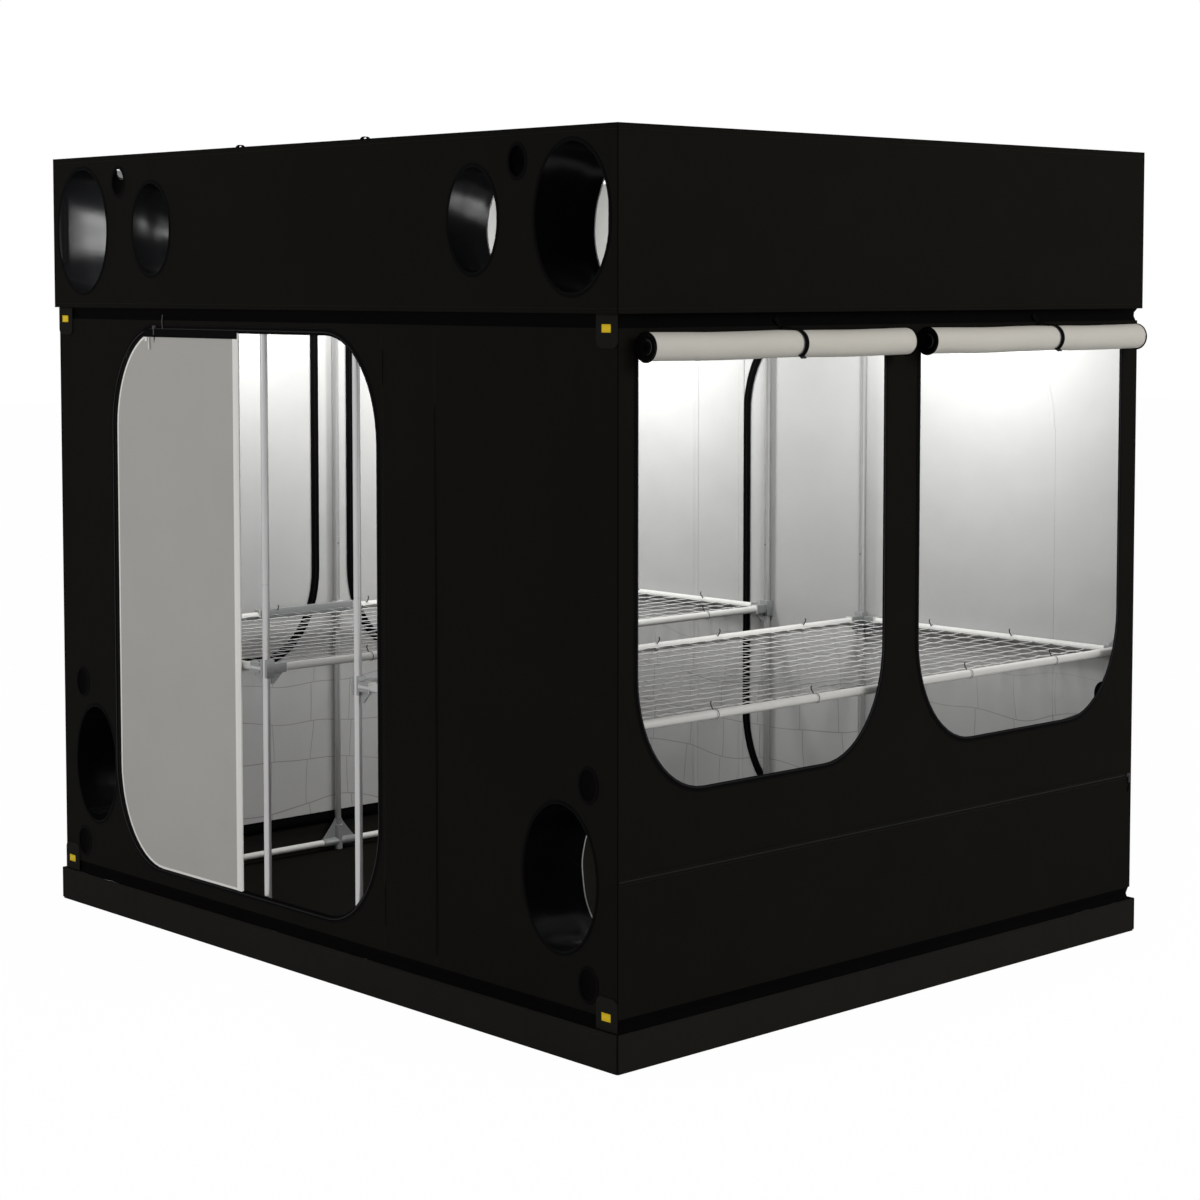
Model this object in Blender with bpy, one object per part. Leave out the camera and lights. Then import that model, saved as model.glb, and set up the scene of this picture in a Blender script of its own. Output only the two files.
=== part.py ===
"""Indoor grow tent: a black fabric house on a tube frame, with a hood, doors, windows and net tables.

The tent stands on z = 0 with its centre on the Z axis. The front door faces -Y, and the wall with
the two open windows faces +X. All lengths are in metres.
"""
import math

import bmesh
import bpy
from mathutils import Matrix, Vector

# Overall sizes
WIDTH = 2.40
DEPTH = 2.00
HEIGHT = 2.18

# Fabric panels and the bands between them
PIECE_GAP = 0.0003
PANEL = 0.004
TAPE = 0.0015
CUT_OVERRUN = 0.010
BODY_INSET = 0.010
BAND_INSET = 0.013
BAND_THICKNESS = 0.004
BAND_FLANGE = 0.003
TRAY_HEIGHT = 0.093
TRAY_GROOVE = 0.032
HOOD_HEIGHT = 0.430
HOOD_GROOVE = 0.033

# Front door, seen from the front. The back door is the same, turned half round the Z axis
DOOR_FROM_SIDE = 0.293
DOOR_WIDTH = 1.210
DOOR_ABOVE_TRAY = 0.077
DOOR_BELOW_WALL_TOP = 0.027
CORNER_WIDTH = 0.215
CORNER_HEIGHT = 0.280
SLIT = 0.002
FOLD_OFFSET = 0.010
FOLD_CLEARANCE = 0.0015
LAYER_GAP = 0.0004
HEM_HEIGHT = 0.018
HEM_LENGTH = 0.400

# Side windows, and the flaps rolled up over them
WINDOW_ABOVE_TRAY = 0.543
WINDOW_BELOW_WALL_TOP = 0.042
WINDOW_FROM_FRONT = 0.075
WINDOW_FROM_BACK = 0.088
MIDDLE_BAR_TO_NEAR = 0.073
MIDDLE_BAR_TO_FAR = 0.067
ROLL_DIAMETER = 0.074
ROLL_BELOW_WALL_TOP = 0.044
ROLL_STEP = 0.004
ROLL_PAST_NEAR_FRONT = 0.015
ROLL_PAST_NEAR_BACK = 0.053
ROLL_PAST_FAR_FRONT = 0.022
ROLL_PAST_FAR_BACK = 0.033

# Ports
PORT_WIDTH = 0.257
PORT_HEIGHT = 0.355
SMALL_PORT_WIDTH = 0.183
SMALL_PORT_HEIGHT = 0.258
SLIM_PORT_WIDTH = 0.210
SLIM_PORT_HEIGHT = 0.340
HOOD_PORT_RISE = 0.220
HOOD_PORT_FROM_SIDE = 0.155
SMALL_PORT_FROM_SIDE = 0.508
HOOD_CABLE_PORT_DROP = 0.075
HOOD_CABLE_PORT_FROM_SIDE = 0.345
WALL_PORT_ABOVE_TRAY = 0.332
WALL_PORT_FROM_SIDE = 0.210
SLIM_PORT_FROM_SIDE = 0.180
CABLE_PORT_FROM_SIDE = 0.110
LOW_CABLE_PORT_ABOVE_TRAY = 0.095
HIGH_CABLE_PORT_ABOVE_TRAY = 0.565
CABLE_PORT_WIDTH = 0.058
CABLE_PORT_HEIGHT = 0.076
SLEEVE_WALL = 0.0025
SLEEVE_LENGTH = 0.180
SMALL_SLEEVE_LENGTH = 0.118
SLEEVE_SAG = 0.020
SLEEVE_RING_SHARES = ((0, 1, 0), (0.067, 0.84, 0), (0.53, 0.79, 0.5), (1, 0.81, 1))

# Straps, corner tabs and zips
STRAP_PAST_NEAR_MIDDLE = 0.038
STRAP_PAST_FAR_MIDDLE = 0.059
STRAP_WIDTH = 0.014
STRAP_THICKNESS = 0.002
STRAP_BELOW_WALL_TOP = 0.004
STRAP_END_ANGLE = math.radians(-46)
TAB_WIDTH = 0.071
TAB_LENGTH = 0.079
TAB_CENTRE_FROM_SIDE = 0.0455
TAB_THICKNESS = 0.002
ZIP_TAPE_WIDTH = 0.030
FACING_WIDTH = 0.010
FACING_OVERLAP = 0.004
SIDE_ZIP_ABOVE_TRAY = 0.352
SLIDER_LENGTH = 0.022
SLIDER_WIDTH = 0.012
SLIDER_THICKNESS = 0.006
SLIDER_RISE = 0.007
SIDE_SLIDER_FROM_END = 0.016

# Frame
POLE_DIAMETER = 0.020
RAIL_HEIGHT = 0.030
POST_INNER_X = 0.200
SOCKET_WIDTH = 0.028
SOCKET_REACH = 0.040
GUSSET_BASE = 0.120

# Net tables
TABLE_HEIGHT = 0.790
TABLE_TUBE = 0.022
TABLE_OUTER_INSET = 0.061
COLLAR_WALL = 0.005
COLLAR_CLEARANCE = 0.0006
COLLAR_HEIGHT = 0.050
NET_COLUMNS = 8
NET_ROWS = 16
NET_CORD = 0.005
NET_THICKNESS = 0.004
NET_SAG = 0.012

# Mesh finish, and numbers of straight steps in round shapes
WELD_SHARE = 0.1
SMOOTH_ANGLE = math.radians(40)
ARC_STEPS = 7
PORT_STEPS = 22
CABLE_PORT_STEPS = 14
TUBE_SIDES = 12
ROLL_SIDES = 28
STRAP_STEPS = 10

# Places worked out from the sizes above
HALF_WIDTH = WIDTH / 2
HALF_DEPTH = DEPTH / 2
HOOD_BOTTOM = HEIGHT - HOOD_HEIGHT
WALL_TOP = HOOD_BOTTOM - HOOD_GROOVE
WALL_BOTTOM = TRAY_HEIGHT + TRAY_GROOVE
BAND_INNER = BAND_INSET + BAND_THICKNESS
WALL_FACE_X = HALF_WIDTH - BODY_INSET
WALL_FACE_Y = HALF_DEPTH - BODY_INSET
POST_INSET = BAND_INNER + PIECE_GAP + POLE_DIAMETER / 2
POST_X = HALF_WIDTH - POST_INSET
POST_Y = HALF_DEPTH - POST_INSET
FLOOR_TOP = PANEL + PIECE_GAP
CEILING = HEIGHT - PANEL - PIECE_GAP
TOP_RAIL_HEIGHT = CEILING - SOCKET_WIDTH / 2
DOOR_LEFT = DOOR_FROM_SIDE - HALF_WIDTH
DOOR_RIGHT = DOOR_LEFT + DOOR_WIDTH
DOOR_BOTTOM = TRAY_HEIGHT + DOOR_ABOVE_TRAY
DOOR_TOP = WALL_TOP - DOOR_BELOW_WALL_TOP
FOLD_X = (DOOR_LEFT + DOOR_RIGHT) / 2 + FOLD_OFFSET
WINDOW_BOTTOM = TRAY_HEIGHT + WINDOW_ABOVE_TRAY
WINDOW_TOP = WALL_TOP - WINDOW_BELOW_WALL_TOP
NEAR_WINDOW = (WINDOW_FROM_FRONT - HALF_DEPTH, -MIDDLE_BAR_TO_NEAR)
FAR_WINDOW = (MIDDLE_BAR_TO_FAR, HALF_DEPTH - WINDOW_FROM_BACK)
WINDOW_SPANS = (NEAR_WINDOW, FAR_WINDOW)
ROLL_X = WALL_FACE_X + PIECE_GAP + ROLL_DIAMETER / 2
ROLL_HEIGHT = WALL_TOP - ROLL_BELOW_WALL_TOP
NEAR_ROLL = (NEAR_WINDOW[0] - ROLL_PAST_NEAR_FRONT, NEAR_WINDOW[1] + ROLL_PAST_NEAR_BACK)
FAR_ROLL = (FAR_WINDOW[0] - ROLL_PAST_FAR_FRONT, FAR_WINDOW[1] + ROLL_PAST_FAR_BACK)
ROLL_SPANS = (NEAR_ROLL, FAR_ROLL)
STRAP_PLACES = (
    sum(NEAR_ROLL) / 2 + STRAP_PAST_NEAR_MIDDLE,
    sum(FAR_ROLL) / 2 + STRAP_PAST_FAR_MIDDLE,
)
STRAP_ROOT_HEIGHT = WALL_TOP - STRAP_BELOW_WALL_TOP
TABLE_OUTER_X = HALF_WIDTH - TABLE_OUTER_INSET
HOOD_PORT_X = HALF_WIDTH - HOOD_PORT_FROM_SIDE
SMALL_PORT_X = HALF_WIDTH - SMALL_PORT_FROM_SIDE
HOOD_PORT_Z = HOOD_BOTTOM + HOOD_PORT_RISE
HOOD_PORTS = (
    (-HOOD_PORT_X, HOOD_PORT_Z, PORT_WIDTH, PORT_HEIGHT),
    (-SMALL_PORT_X, HOOD_PORT_Z, SMALL_PORT_WIDTH, SMALL_PORT_HEIGHT),
    (SMALL_PORT_X, HOOD_PORT_Z, SMALL_PORT_WIDTH, SMALL_PORT_HEIGHT),
    (HOOD_PORT_X, HOOD_PORT_Z, PORT_WIDTH, PORT_HEIGHT),
)
WALL_PORT_Z = TRAY_HEIGHT + WALL_PORT_ABOVE_TRAY
WALL_PORTS = (
    (SLIM_PORT_FROM_SIDE - HALF_WIDTH, WALL_PORT_Z, SLIM_PORT_WIDTH, SLIM_PORT_HEIGHT),
    (HALF_WIDTH - WALL_PORT_FROM_SIDE, WALL_PORT_Z, PORT_WIDTH, PORT_HEIGHT),
)
CABLE_PORT_X = HALF_WIDTH - CABLE_PORT_FROM_SIDE
CABLE_PORT_HEIGHTS = (TRAY_HEIGHT + LOW_CABLE_PORT_ABOVE_TRAY, TRAY_HEIGHT + HIGH_CABLE_PORT_ABOVE_TRAY)
COLLAR_REACH = POLE_DIAMETER / 2 + COLLAR_CLEARANCE + COLLAR_WALL

COLOURS = {
    "black_fabric": ((0.0065, 0.006, 0.005, 1), 0.62, 0),
    "skirt_fabric": ((0.011, 0.0105, 0.0095, 1), 0.7, 0),
    "band_fabric": ((0.003, 0.003, 0.003, 1), 0.8, 0),
    "liner_fabric": ((0.62, 0.61, 0.58, 1), 0.45, 0),
    "flap_lining": ((0.34, 0.33, 0.31, 1), 0.6, 0),
    "webbing": ((0.008, 0.008, 0.008, 1), 0.75, 0),
    "zip_metal": ((0.05, 0.05, 0.05, 1), 0.35, 0.8),
    "white_tube": ((0.8, 0.8, 0.79, 1), 0.3, 0.1),
    "net_cord": ((0.72, 0.72, 0.71, 1), 0.6, 0),
}


def clear_scene():
    """Start from an empty scene."""
    for old in list(bpy.data.objects):
        bpy.data.objects.remove(old, do_unlink=True)


def finish_of(name, look):
    """A material of the piece's own, in one of the tent's colours."""
    colour, roughness, metallic = COLOURS[look]
    made = bpy.data.materials.new(name + "_" + look)
    made.use_nodes = True
    shader = made.node_tree.nodes["Principled BSDF"]
    shader.inputs["Base Color"].default_value = colour
    shader.inputs["Roughness"].default_value = roughness
    shader.inputs["Metallic"].default_value = metallic
    made.diffuse_color = colour
    return made


def add_piece(name, shape, look, origin=(0, 0, 0), smooth=False):
    """Turn a bmesh in world places into an object whose origin is at the given point."""
    bmesh.ops.remove_doubles(shape, verts=shape.verts, dist=PIECE_GAP * WELD_SHARE)
    bmesh.ops.recalc_face_normals(shape, faces=shape.faces)
    mesh = bpy.data.meshes.new(name)
    shape.transform(Matrix.Translation(-Vector(origin)))
    shape.to_mesh(mesh)
    shape.free()
    if smooth:
        mesh.shade_smooth()
        mesh.set_sharp_from_angle(angle=SMOOTH_ANGLE)
    piece = bpy.data.objects.new(name, mesh)
    piece.location = origin
    bpy.context.scene.collection.objects.link(piece)
    mesh.materials.append(finish_of(name, look))
    return piece


def hide_tool(piece):
    """Mark a cutter or an added shape, which isn't a piece of the tent."""
    piece.hide_render = True
    piece.display_type = "WIRE"


def combine(piece, other, operation):
    """Cut the other shape from the piece, or join it to the piece."""
    modifier = piece.modifiers.new(operation.title(), "BOOLEAN")
    modifier.operation = operation
    modifier.object = other
    hide_tool(other)


def oval(centre, size, steps):
    """Points of an ellipse, anticlockwise."""
    turns = [2 * math.pi * step / steps for step in range(steps)]
    return [
        (centre[0] + size[0] / 2 * math.cos(turn), centre[1] + size[1] / 2 * math.sin(turn))
        for turn in turns
    ]


def corner_arc(corner, toward, reach):
    """An elliptical corner that leaves along one side and arrives along the next, anticlockwise."""
    centre = (corner[0] + toward[0] * reach[0], corner[1] + toward[1] * reach[1])
    starts = {(1, 1): 180, (-1, 1): 270, (-1, -1): 0, (1, -1): 90}
    start = math.radians(starts[toward])
    points = []
    for step in range(ARC_STEPS + 1):
        turn = start + math.pi / 2 * step / ARC_STEPS
        points.append((centre[0] + reach[0] * math.cos(turn), centre[1] + reach[1] * math.sin(turn)))
    return points


def rounded_outline(low, high, rounded, inset=0):
    """A rectangle, anticlockwise from its lower left, with elliptical arcs at the named corners."""
    left, bottom = low[0] + inset, low[1] + inset
    right, top = high[0] - inset, high[1] - inset
    reach = (CORNER_WIDTH - inset, CORNER_HEIGHT - inset)
    corners = {
        "low_left": ((left, bottom), (1, 1)),
        "low_right": ((right, bottom), (-1, 1)),
        "top_right": ((right, top), (-1, -1)),
        "top_left": ((left, top), (1, -1)),
    }
    points = []
    for name, (corner, toward) in corners.items():
        if name in rounded:
            points.extend(corner_arc(corner, toward, reach))
        else:
            points.append(corner)
    return points


def facing_y(across, up, out):
    """A place on the front or back wall from its X, its Z and its Y."""
    return Vector((across, out, up))


def facing_x(across, up, out):
    """A place on a side wall from its Y, its Z and its X."""
    return Vector((out, across, up))


def flat_shape(place, outline, holes, first, second):
    """A flat plate between two planes, with holes through it."""
    shape = bmesh.new()
    edges = []
    for loop in [outline] + holes:
        corners = [shape.verts.new(place(across, up, first)) for across, up in loop]
        for index, corner in enumerate(corners):
            edges.append(shape.edges.new((corner, corners[(index + 1) % len(corners)])))
    bmesh.ops.triangle_fill(shape, use_beauty=True, edges=edges)
    grown = bmesh.ops.extrude_face_region(shape, geom=list(shape.faces), use_keep_orig=True)
    moved = [item for item in grown["geom"] if isinstance(item, bmesh.types.BMVert)]
    bmesh.ops.translate(shape, verts=moved, vec=place(0, 0, second) - place(0, 0, first))
    return shape


def box_outline(low, high):
    """A plain rectangle, anticlockwise."""
    return [(low[0], low[1]), (high[0], low[1]), (high[0], high[1]), (low[0], high[1])]


def box_shape(low, high):
    """A box between two opposite corners."""
    return flat_shape(facing_y, box_outline((low[0], low[2]), (high[0], high[2])), [], low[1], high[1])


def bridged_shape(rings, close_round=False):
    """Join rings of equal length one to the next, and cap the two ends or close the shape on itself."""
    shape = bmesh.new()
    made = [[shape.verts.new(point) for point in ring] for ring in rings]
    count = len(made[0])
    pairs = list(zip(made, made[1:]))
    if close_round:
        pairs.append((made[-1], made[0]))
    for before, after in pairs:
        for index in range(count):
            following = (index + 1) % count
            shape.faces.new((before[index], before[following], after[following], after[index]))
    if not close_round:
        shape.faces.new(list(reversed(made[0])))
        shape.faces.new(made[-1])
    return shape


def tube_shape(start, end, diameter):
    """A straight round bar between two points."""
    start, end = Vector(start), Vector(end)
    direction = (end - start).normalized()
    turn = direction.to_track_quat("Z", "Y")
    rings = []
    for centre in (start, end):
        ring = []
        for step in range(TUBE_SIDES):
            angle = 2 * math.pi * (step + 0.5) / TUBE_SIDES
            offset = Vector((math.cos(angle), math.sin(angle), 0)) * diameter / 2
            ring.append(centre + turn @ offset)
        rings.append(ring)
    return bridged_shape(rings)


def merged(shapes):
    """Put several shapes into one mesh."""
    whole = bmesh.new()
    for shape in shapes:
        part = bpy.data.meshes.new("part_of_tool")
        shape.to_mesh(part)
        shape.free()
        whole.from_mesh(part)
        bpy.data.meshes.remove(part)
    return whole


def tent_ring(inset, height):
    """The four corners of a level rectangle that stands back from the tent's outline."""
    across, along = HALF_WIDTH - inset, HALF_DEPTH - inset
    return [
        (-across, -along, height),
        (across, -along, height),
        (across, along, height),
        (-across, along, height),
    ]


def build_tray():
    """The waterproof floor, with its low upright walls."""
    rings = [
        tent_ring(0, 0),
        tent_ring(0, TRAY_HEIGHT),
        tent_ring(PANEL, TRAY_HEIGHT),
        tent_ring(PANEL, PANEL),
    ]
    add_piece("floor_tray", bridged_shape(rings), "skirt_fabric")


def build_bands():
    """The set-back bands, each with a flange that reaches out to the tray or the hood."""
    levels = {
        "lower_band": (TRAY_HEIGHT - BAND_FLANGE, TRAY_HEIGHT, WALL_BOTTOM - PIECE_GAP),
        "upper_band": (HOOD_BOTTOM + BAND_FLANGE, HOOD_BOTTOM, WALL_TOP + PIECE_GAP),
    }
    for name, (flange_far, flange_near, wall_end) in levels.items():
        flange_edge = PANEL + PIECE_GAP
        rings = [
            tent_ring(flange_edge, flange_near),
            tent_ring(flange_edge, flange_far),
            tent_ring(BAND_INNER, flange_far),
            tent_ring(BAND_INNER, wall_end),
            tent_ring(BAND_INSET, wall_end),
            tent_ring(BAND_INSET, flange_near),
        ]
        add_piece(name, bridged_shape(rings, close_round=True), "band_fabric")


def door_outline(turned, inset=0):
    """The rounded outline of a door opening."""
    low, high = (DOOR_LEFT, DOOR_BOTTOM), (DOOR_RIGHT, DOOR_TOP)
    if turned:
        low, high = (-DOOR_RIGHT, DOOR_BOTTOM), (-DOOR_LEFT, DOOR_TOP)
    return rounded_outline(low, high, ("low_left", "low_right", "top_right", "top_left"), inset)


def wall_holes(turned):
    """The door and the ports of the front wall, or of the back wall, which is turned round."""
    side = -1 if turned else 1
    holes = [door_outline(turned)]
    for across, up, wide, tall in WALL_PORTS:
        holes.append(oval((side * across, up), (wide, tall), PORT_STEPS))
    for across in (-CABLE_PORT_X, CABLE_PORT_X):
        for up in CABLE_PORT_HEIGHTS:
            holes.append(oval((across, up), (CABLE_PORT_WIDTH, CABLE_PORT_HEIGHT), CABLE_PORT_STEPS))
    return holes


def window_outline(span, inset=0):
    """A window opening: rounded at the bottom and square at the top, where the flap is sewn."""
    low, high = (span[0], WINDOW_BOTTOM), (span[1], WINDOW_TOP)
    return rounded_outline(low, high, ("low_left", "low_right"), inset)


def build_walls():
    """The four walls of the lower body."""
    outline = box_outline((-WALL_FACE_X, WALL_BOTTOM), (WALL_FACE_X, WALL_TOP))
    for name, side in (("front_wall", -1), ("back_wall", 1)):
        shape = flat_shape(
            facing_y, outline, wall_holes(side > 0), side * WALL_FACE_Y, side * (WALL_FACE_Y - PANEL)
        )
        add_piece(name, shape, "black_fabric")
    end = WALL_FACE_Y - PANEL - PIECE_GAP
    outline = box_outline((-end, WALL_BOTTOM), (end, WALL_TOP))
    holes = [window_outline(span) for span in WINDOW_SPANS]
    for name, side in (("left_wall", -1), ("right_wall", 1)):
        shape = flat_shape(facing_x, outline, holes, side * WALL_FACE_X, side * (WALL_FACE_X - PANEL))
        add_piece(name, shape, "black_fabric")


def build_hood():
    """The upper chamber: a roof on four walls, with ports in the front."""
    outline = box_outline((-HALF_WIDTH, HOOD_BOTTOM), (HALF_WIDTH, CEILING))
    holes = [oval((across, up), (wide, tall), PORT_STEPS) for across, up, wide, tall in HOOD_PORTS]
    across = HALF_WIDTH - HOOD_CABLE_PORT_FROM_SIDE
    for place in ((-across, HEIGHT - HOOD_CABLE_PORT_DROP), (across, HEIGHT - HOOD_CABLE_PORT_DROP)):
        holes.append(oval(place, (CABLE_PORT_WIDTH, CABLE_PORT_HEIGHT), CABLE_PORT_STEPS))
    for name, side, cut in (("hood_front", -1, holes), ("hood_back", 1, [])):
        shape = flat_shape(facing_y, outline, cut, side * HALF_DEPTH, side * (HALF_DEPTH - PANEL))
        add_piece(name, shape, "black_fabric")
    end = HALF_DEPTH - PANEL - PIECE_GAP
    outline = box_outline((-end, HOOD_BOTTOM), (end, CEILING))
    for name, side in (("hood_left", -1), ("hood_right", 1)):
        shape = flat_shape(facing_x, outline, [], side * HALF_WIDTH, side * (HALF_WIDTH - PANEL))
        add_piece(name, shape, "black_fabric")
    low = (-HALF_WIDTH, -HALF_DEPTH, HEIGHT - PANEL)
    add_piece("hood_roof", box_shape(low, (HALF_WIDTH, HALF_DEPTH, HEIGHT)), "black_fabric")


def build_front_door():
    """The front door: its hinged half closed, and its free half folded back over it."""
    full = door_outline(False, SLIT)
    hinge = (DOOR_LEFT, -WALL_FACE_Y, 0)
    edge = FOLD_X - FOLD_CLEARANCE
    left_half = [point for point in full if point[0] < edge]
    left_half += [(edge, DOOR_TOP - SLIT), (edge, DOOR_BOTTOM + SLIT)]
    left_half.sort(key=lambda point: math.atan2(
        point[1] - (DOOR_BOTTOM + DOOR_TOP) / 2, point[0] - (DOOR_LEFT + edge) / 2))
    shape = flat_shape(facing_y, left_half, [], -WALL_FACE_Y, PANEL - WALL_FACE_Y)
    add_piece("door_hinged_half", shape, "liner_fabric", hinge)
    fold_y = -WALL_FACE_Y - LAYER_GAP / 2
    near = fold_y - LAYER_GAP / 2
    start = FOLD_X + FOLD_CLEARANCE
    right_half = [point for point in full if point[0] > start]
    right_half += [(start, DOOR_BOTTOM + SLIT), (start, DOOR_TOP - SLIT)]
    folded = [(2 * FOLD_X - across, up) for across, up in right_half]
    folded.sort(key=lambda point: math.atan2(
        point[1] - (DOOR_BOTTOM + DOOR_TOP) / 2, point[0] - (DOOR_LEFT + edge) / 2))
    shape = flat_shape(facing_y, folded, [], near, near - PANEL)
    add_piece("door_folded_half", shape, "flap_lining", (FOLD_X, fold_y, 0))
    top = DOOR_TOP - FACING_OVERLAP - 2 * SLIT
    outline = box_outline((edge - HEM_LENGTH, top - HEM_HEIGHT), (edge, top))
    hem_y = near - PANEL - PIECE_GAP
    shape = flat_shape(facing_y, outline, [], hem_y, hem_y - TAPE)
    add_piece("door_top_hem", shape, "webbing", (FOLD_X, fold_y, 0))


def build_front_facing():
    """The facing inside the front door's edge, which carries the zip and backs the door's rim."""
    inside = PANEL + PIECE_GAP - WALL_FACE_Y
    outline = door_outline(False, FACING_OVERLAP - FACING_WIDTH)
    shape = flat_shape(facing_y, outline, [door_outline(False, FACING_OVERLAP)], inside, inside + TAPE)
    add_piece("front_door_facing", shape, "webbing")


def tape_loop(outline_at, open_side):
    """A strip that follows an opening's edge on both sides of the slit, left out on the sewn side."""
    half = ZIP_TAPE_WIDTH / 2
    outer = [point for point in outline_at(-half) if open_side(point)]
    inner = [point for point in outline_at(half) if open_side(point)]
    return outer + list(reversed(inner))


def turned_to_start(points, is_cut):
    """Turn a closed list of points so that it starts just after the stretch that is left out."""
    for index, point in enumerate(points):
        if is_cut(points[index - 1]) and not is_cut(point):
            return points[index:] + points[:index]
    return points


def build_back_door():
    """The closed back door, and the zip tape that runs round its free edges inside."""
    shape = flat_shape(facing_y, door_outline(True, SLIT), [], WALL_FACE_Y, WALL_FACE_Y - PANEL)
    add_piece("back_door", shape, "black_fabric", (-DOOR_LEFT, WALL_FACE_Y, 0))
    sewn_from = -DOOR_LEFT - CORNER_WIDTH

    def is_cut(point):
        return point[0] > sewn_from + PIECE_GAP

    def outline_at(inset):
        return turned_to_start(door_outline(True, inset), is_cut)

    inside = WALL_FACE_Y - PANEL - PIECE_GAP
    outline = tape_loop(outline_at, lambda point: not is_cut(point))
    shape = flat_shape(facing_y, outline, [], inside, inside - TAPE)
    add_piece("back_door_zip", shape, "webbing")


def build_left_windows():
    """The closed flaps of the left wall, sewn along the top, and their zip tapes inside."""
    for name, span in zip(("near", "far"), WINDOW_SPANS):
        outline = window_outline(span, SLIT)
        shape = flat_shape(facing_x, outline, [], -WALL_FACE_X, PANEL - WALL_FACE_X)
        centre = (span[0] + span[1]) / 2
        hinge = (-WALL_FACE_X, centre, WINDOW_TOP - SLIT)
        add_piece("left_window_" + name, shape, "liner_fabric", hinge)

        def is_cut(point):
            return point[1] > WINDOW_TOP - ZIP_TAPE_WIDTH

        def outline_at(inset, span=span):
            points = turned_to_start(window_outline(span, inset), is_cut)
            kept = [point for point in points if not is_cut(point)]
            low_end = (kept[0][0], WINDOW_TOP)
            high_end = (kept[-1][0], WINDOW_TOP)
            return [low_end] + kept + [high_end]

        inside = -WALL_FACE_X + PANEL + PIECE_GAP
        outline = tape_loop(outline_at, lambda point: True)
        shape = flat_shape(facing_x, outline, [], inside, inside + TAPE)
        add_piece("left_window_zip_" + name, shape, "webbing")


def build_rolls():
    """The two window flaps of the right wall, rolled up: a spiral edge shows as a step."""
    for name, span in zip(("near", "far"), ROLL_SPANS):
        rings = []
        for along in span:
            ring = []
            for step in range(ROLL_SIDES + 1):
                turn = 2 * math.pi * step / ROLL_SIDES
                radius = ROLL_DIAMETER / 2 - ROLL_STEP * step / ROLL_SIDES
                ring.append((ROLL_X + radius * math.cos(turn), along, ROLL_HEIGHT + radius * math.sin(turn)))
            rings.append(ring)
        add_piece("window_roll_" + name, bridged_shape(rings), "flap_lining", smooth=True)


def strap_profile():
    """The outline of a strap: from the wall to the top of the roll, then round its front."""
    half_step = (math.pi - STRAP_END_ANGLE) / STRAP_STEPS / 2
    inner_radius = (ROLL_DIAMETER / 2 + PIECE_GAP) / math.cos(half_step)
    outer_radius = inner_radius + STRAP_THICKNESS
    root = Vector((WALL_FACE_X + PIECE_GAP - ROLL_X, STRAP_ROOT_HEIGHT - ROLL_HEIGHT))
    root_turn = math.atan2(root.y, root.x)
    start_turn = root_turn - math.acos(inner_radius / root.length)
    outer = [(ROLL_X + root.x, ROLL_HEIGHT + root.y + STRAP_THICKNESS)]
    inner = [(ROLL_X + root.x, ROLL_HEIGHT + root.y)]
    for step in range(STRAP_STEPS + 1):
        turn = start_turn + (STRAP_END_ANGLE - start_turn) * step / STRAP_STEPS
        for line, radius in ((outer, outer_radius), (inner, inner_radius)):
            line.append((ROLL_X + radius * math.cos(turn), ROLL_HEIGHT + radius * math.sin(turn)))
    return outer + list(reversed(inner))


def build_straps():
    """The straps that hold the rolls up, each sewn to the wall above its roll."""
    profile = strap_profile()
    for name, along in zip(("near", "far"), STRAP_PLACES):
        rings = []
        for end in (along - STRAP_WIDTH / 2, along + STRAP_WIDTH / 2):
            rings.append([(across, end, up) for across, up in profile])
        hinge = (WALL_FACE_X + PIECE_GAP, along, STRAP_ROOT_HEIGHT + STRAP_THICKNESS)
        add_piece("roll_strap_" + name, bridged_shape(rings), "webbing", hinge)


def tab_outline(centre, root, tip):
    """A corner tab, square where it is sewn and round at its free end."""
    half = TAB_WIDTH / 2
    toward = 1 if tip > root else -1
    round_centre = tip - toward * half
    points = [(centre - half, root), (centre + half, root)]
    for step in range(ARC_STEPS + 1):
        turn = math.pi * step / ARC_STEPS
        points.append((centre + half * math.cos(turn), round_centre + toward * half * math.sin(turn)))
    return points


def build_tabs():
    """The four corner tabs of the front, which hold the body to the hood and to the tray."""
    face = -WALL_FACE_Y - PIECE_GAP
    for side, side_name in ((-1, "left"), (1, "right")):
        centre = side * (HALF_WIDTH - TAB_CENTRE_FROM_SIDE)
        roots = {
            "top": (HOOD_BOTTOM - PIECE_GAP, HOOD_BOTTOM - TAB_LENGTH),
            "bottom": (TRAY_HEIGHT + PIECE_GAP, TRAY_HEIGHT + TAB_LENGTH),
        }
        for level, (root, tip) in roots.items():
            outline = tab_outline(centre, root, tip)
            shape = flat_shape(facing_y, outline, [], face, face - TAB_THICKNESS)
            add_piece(f"tab_{side_name}_{level}", shape, "webbing", (centre, face - TAB_THICKNESS, root))


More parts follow.
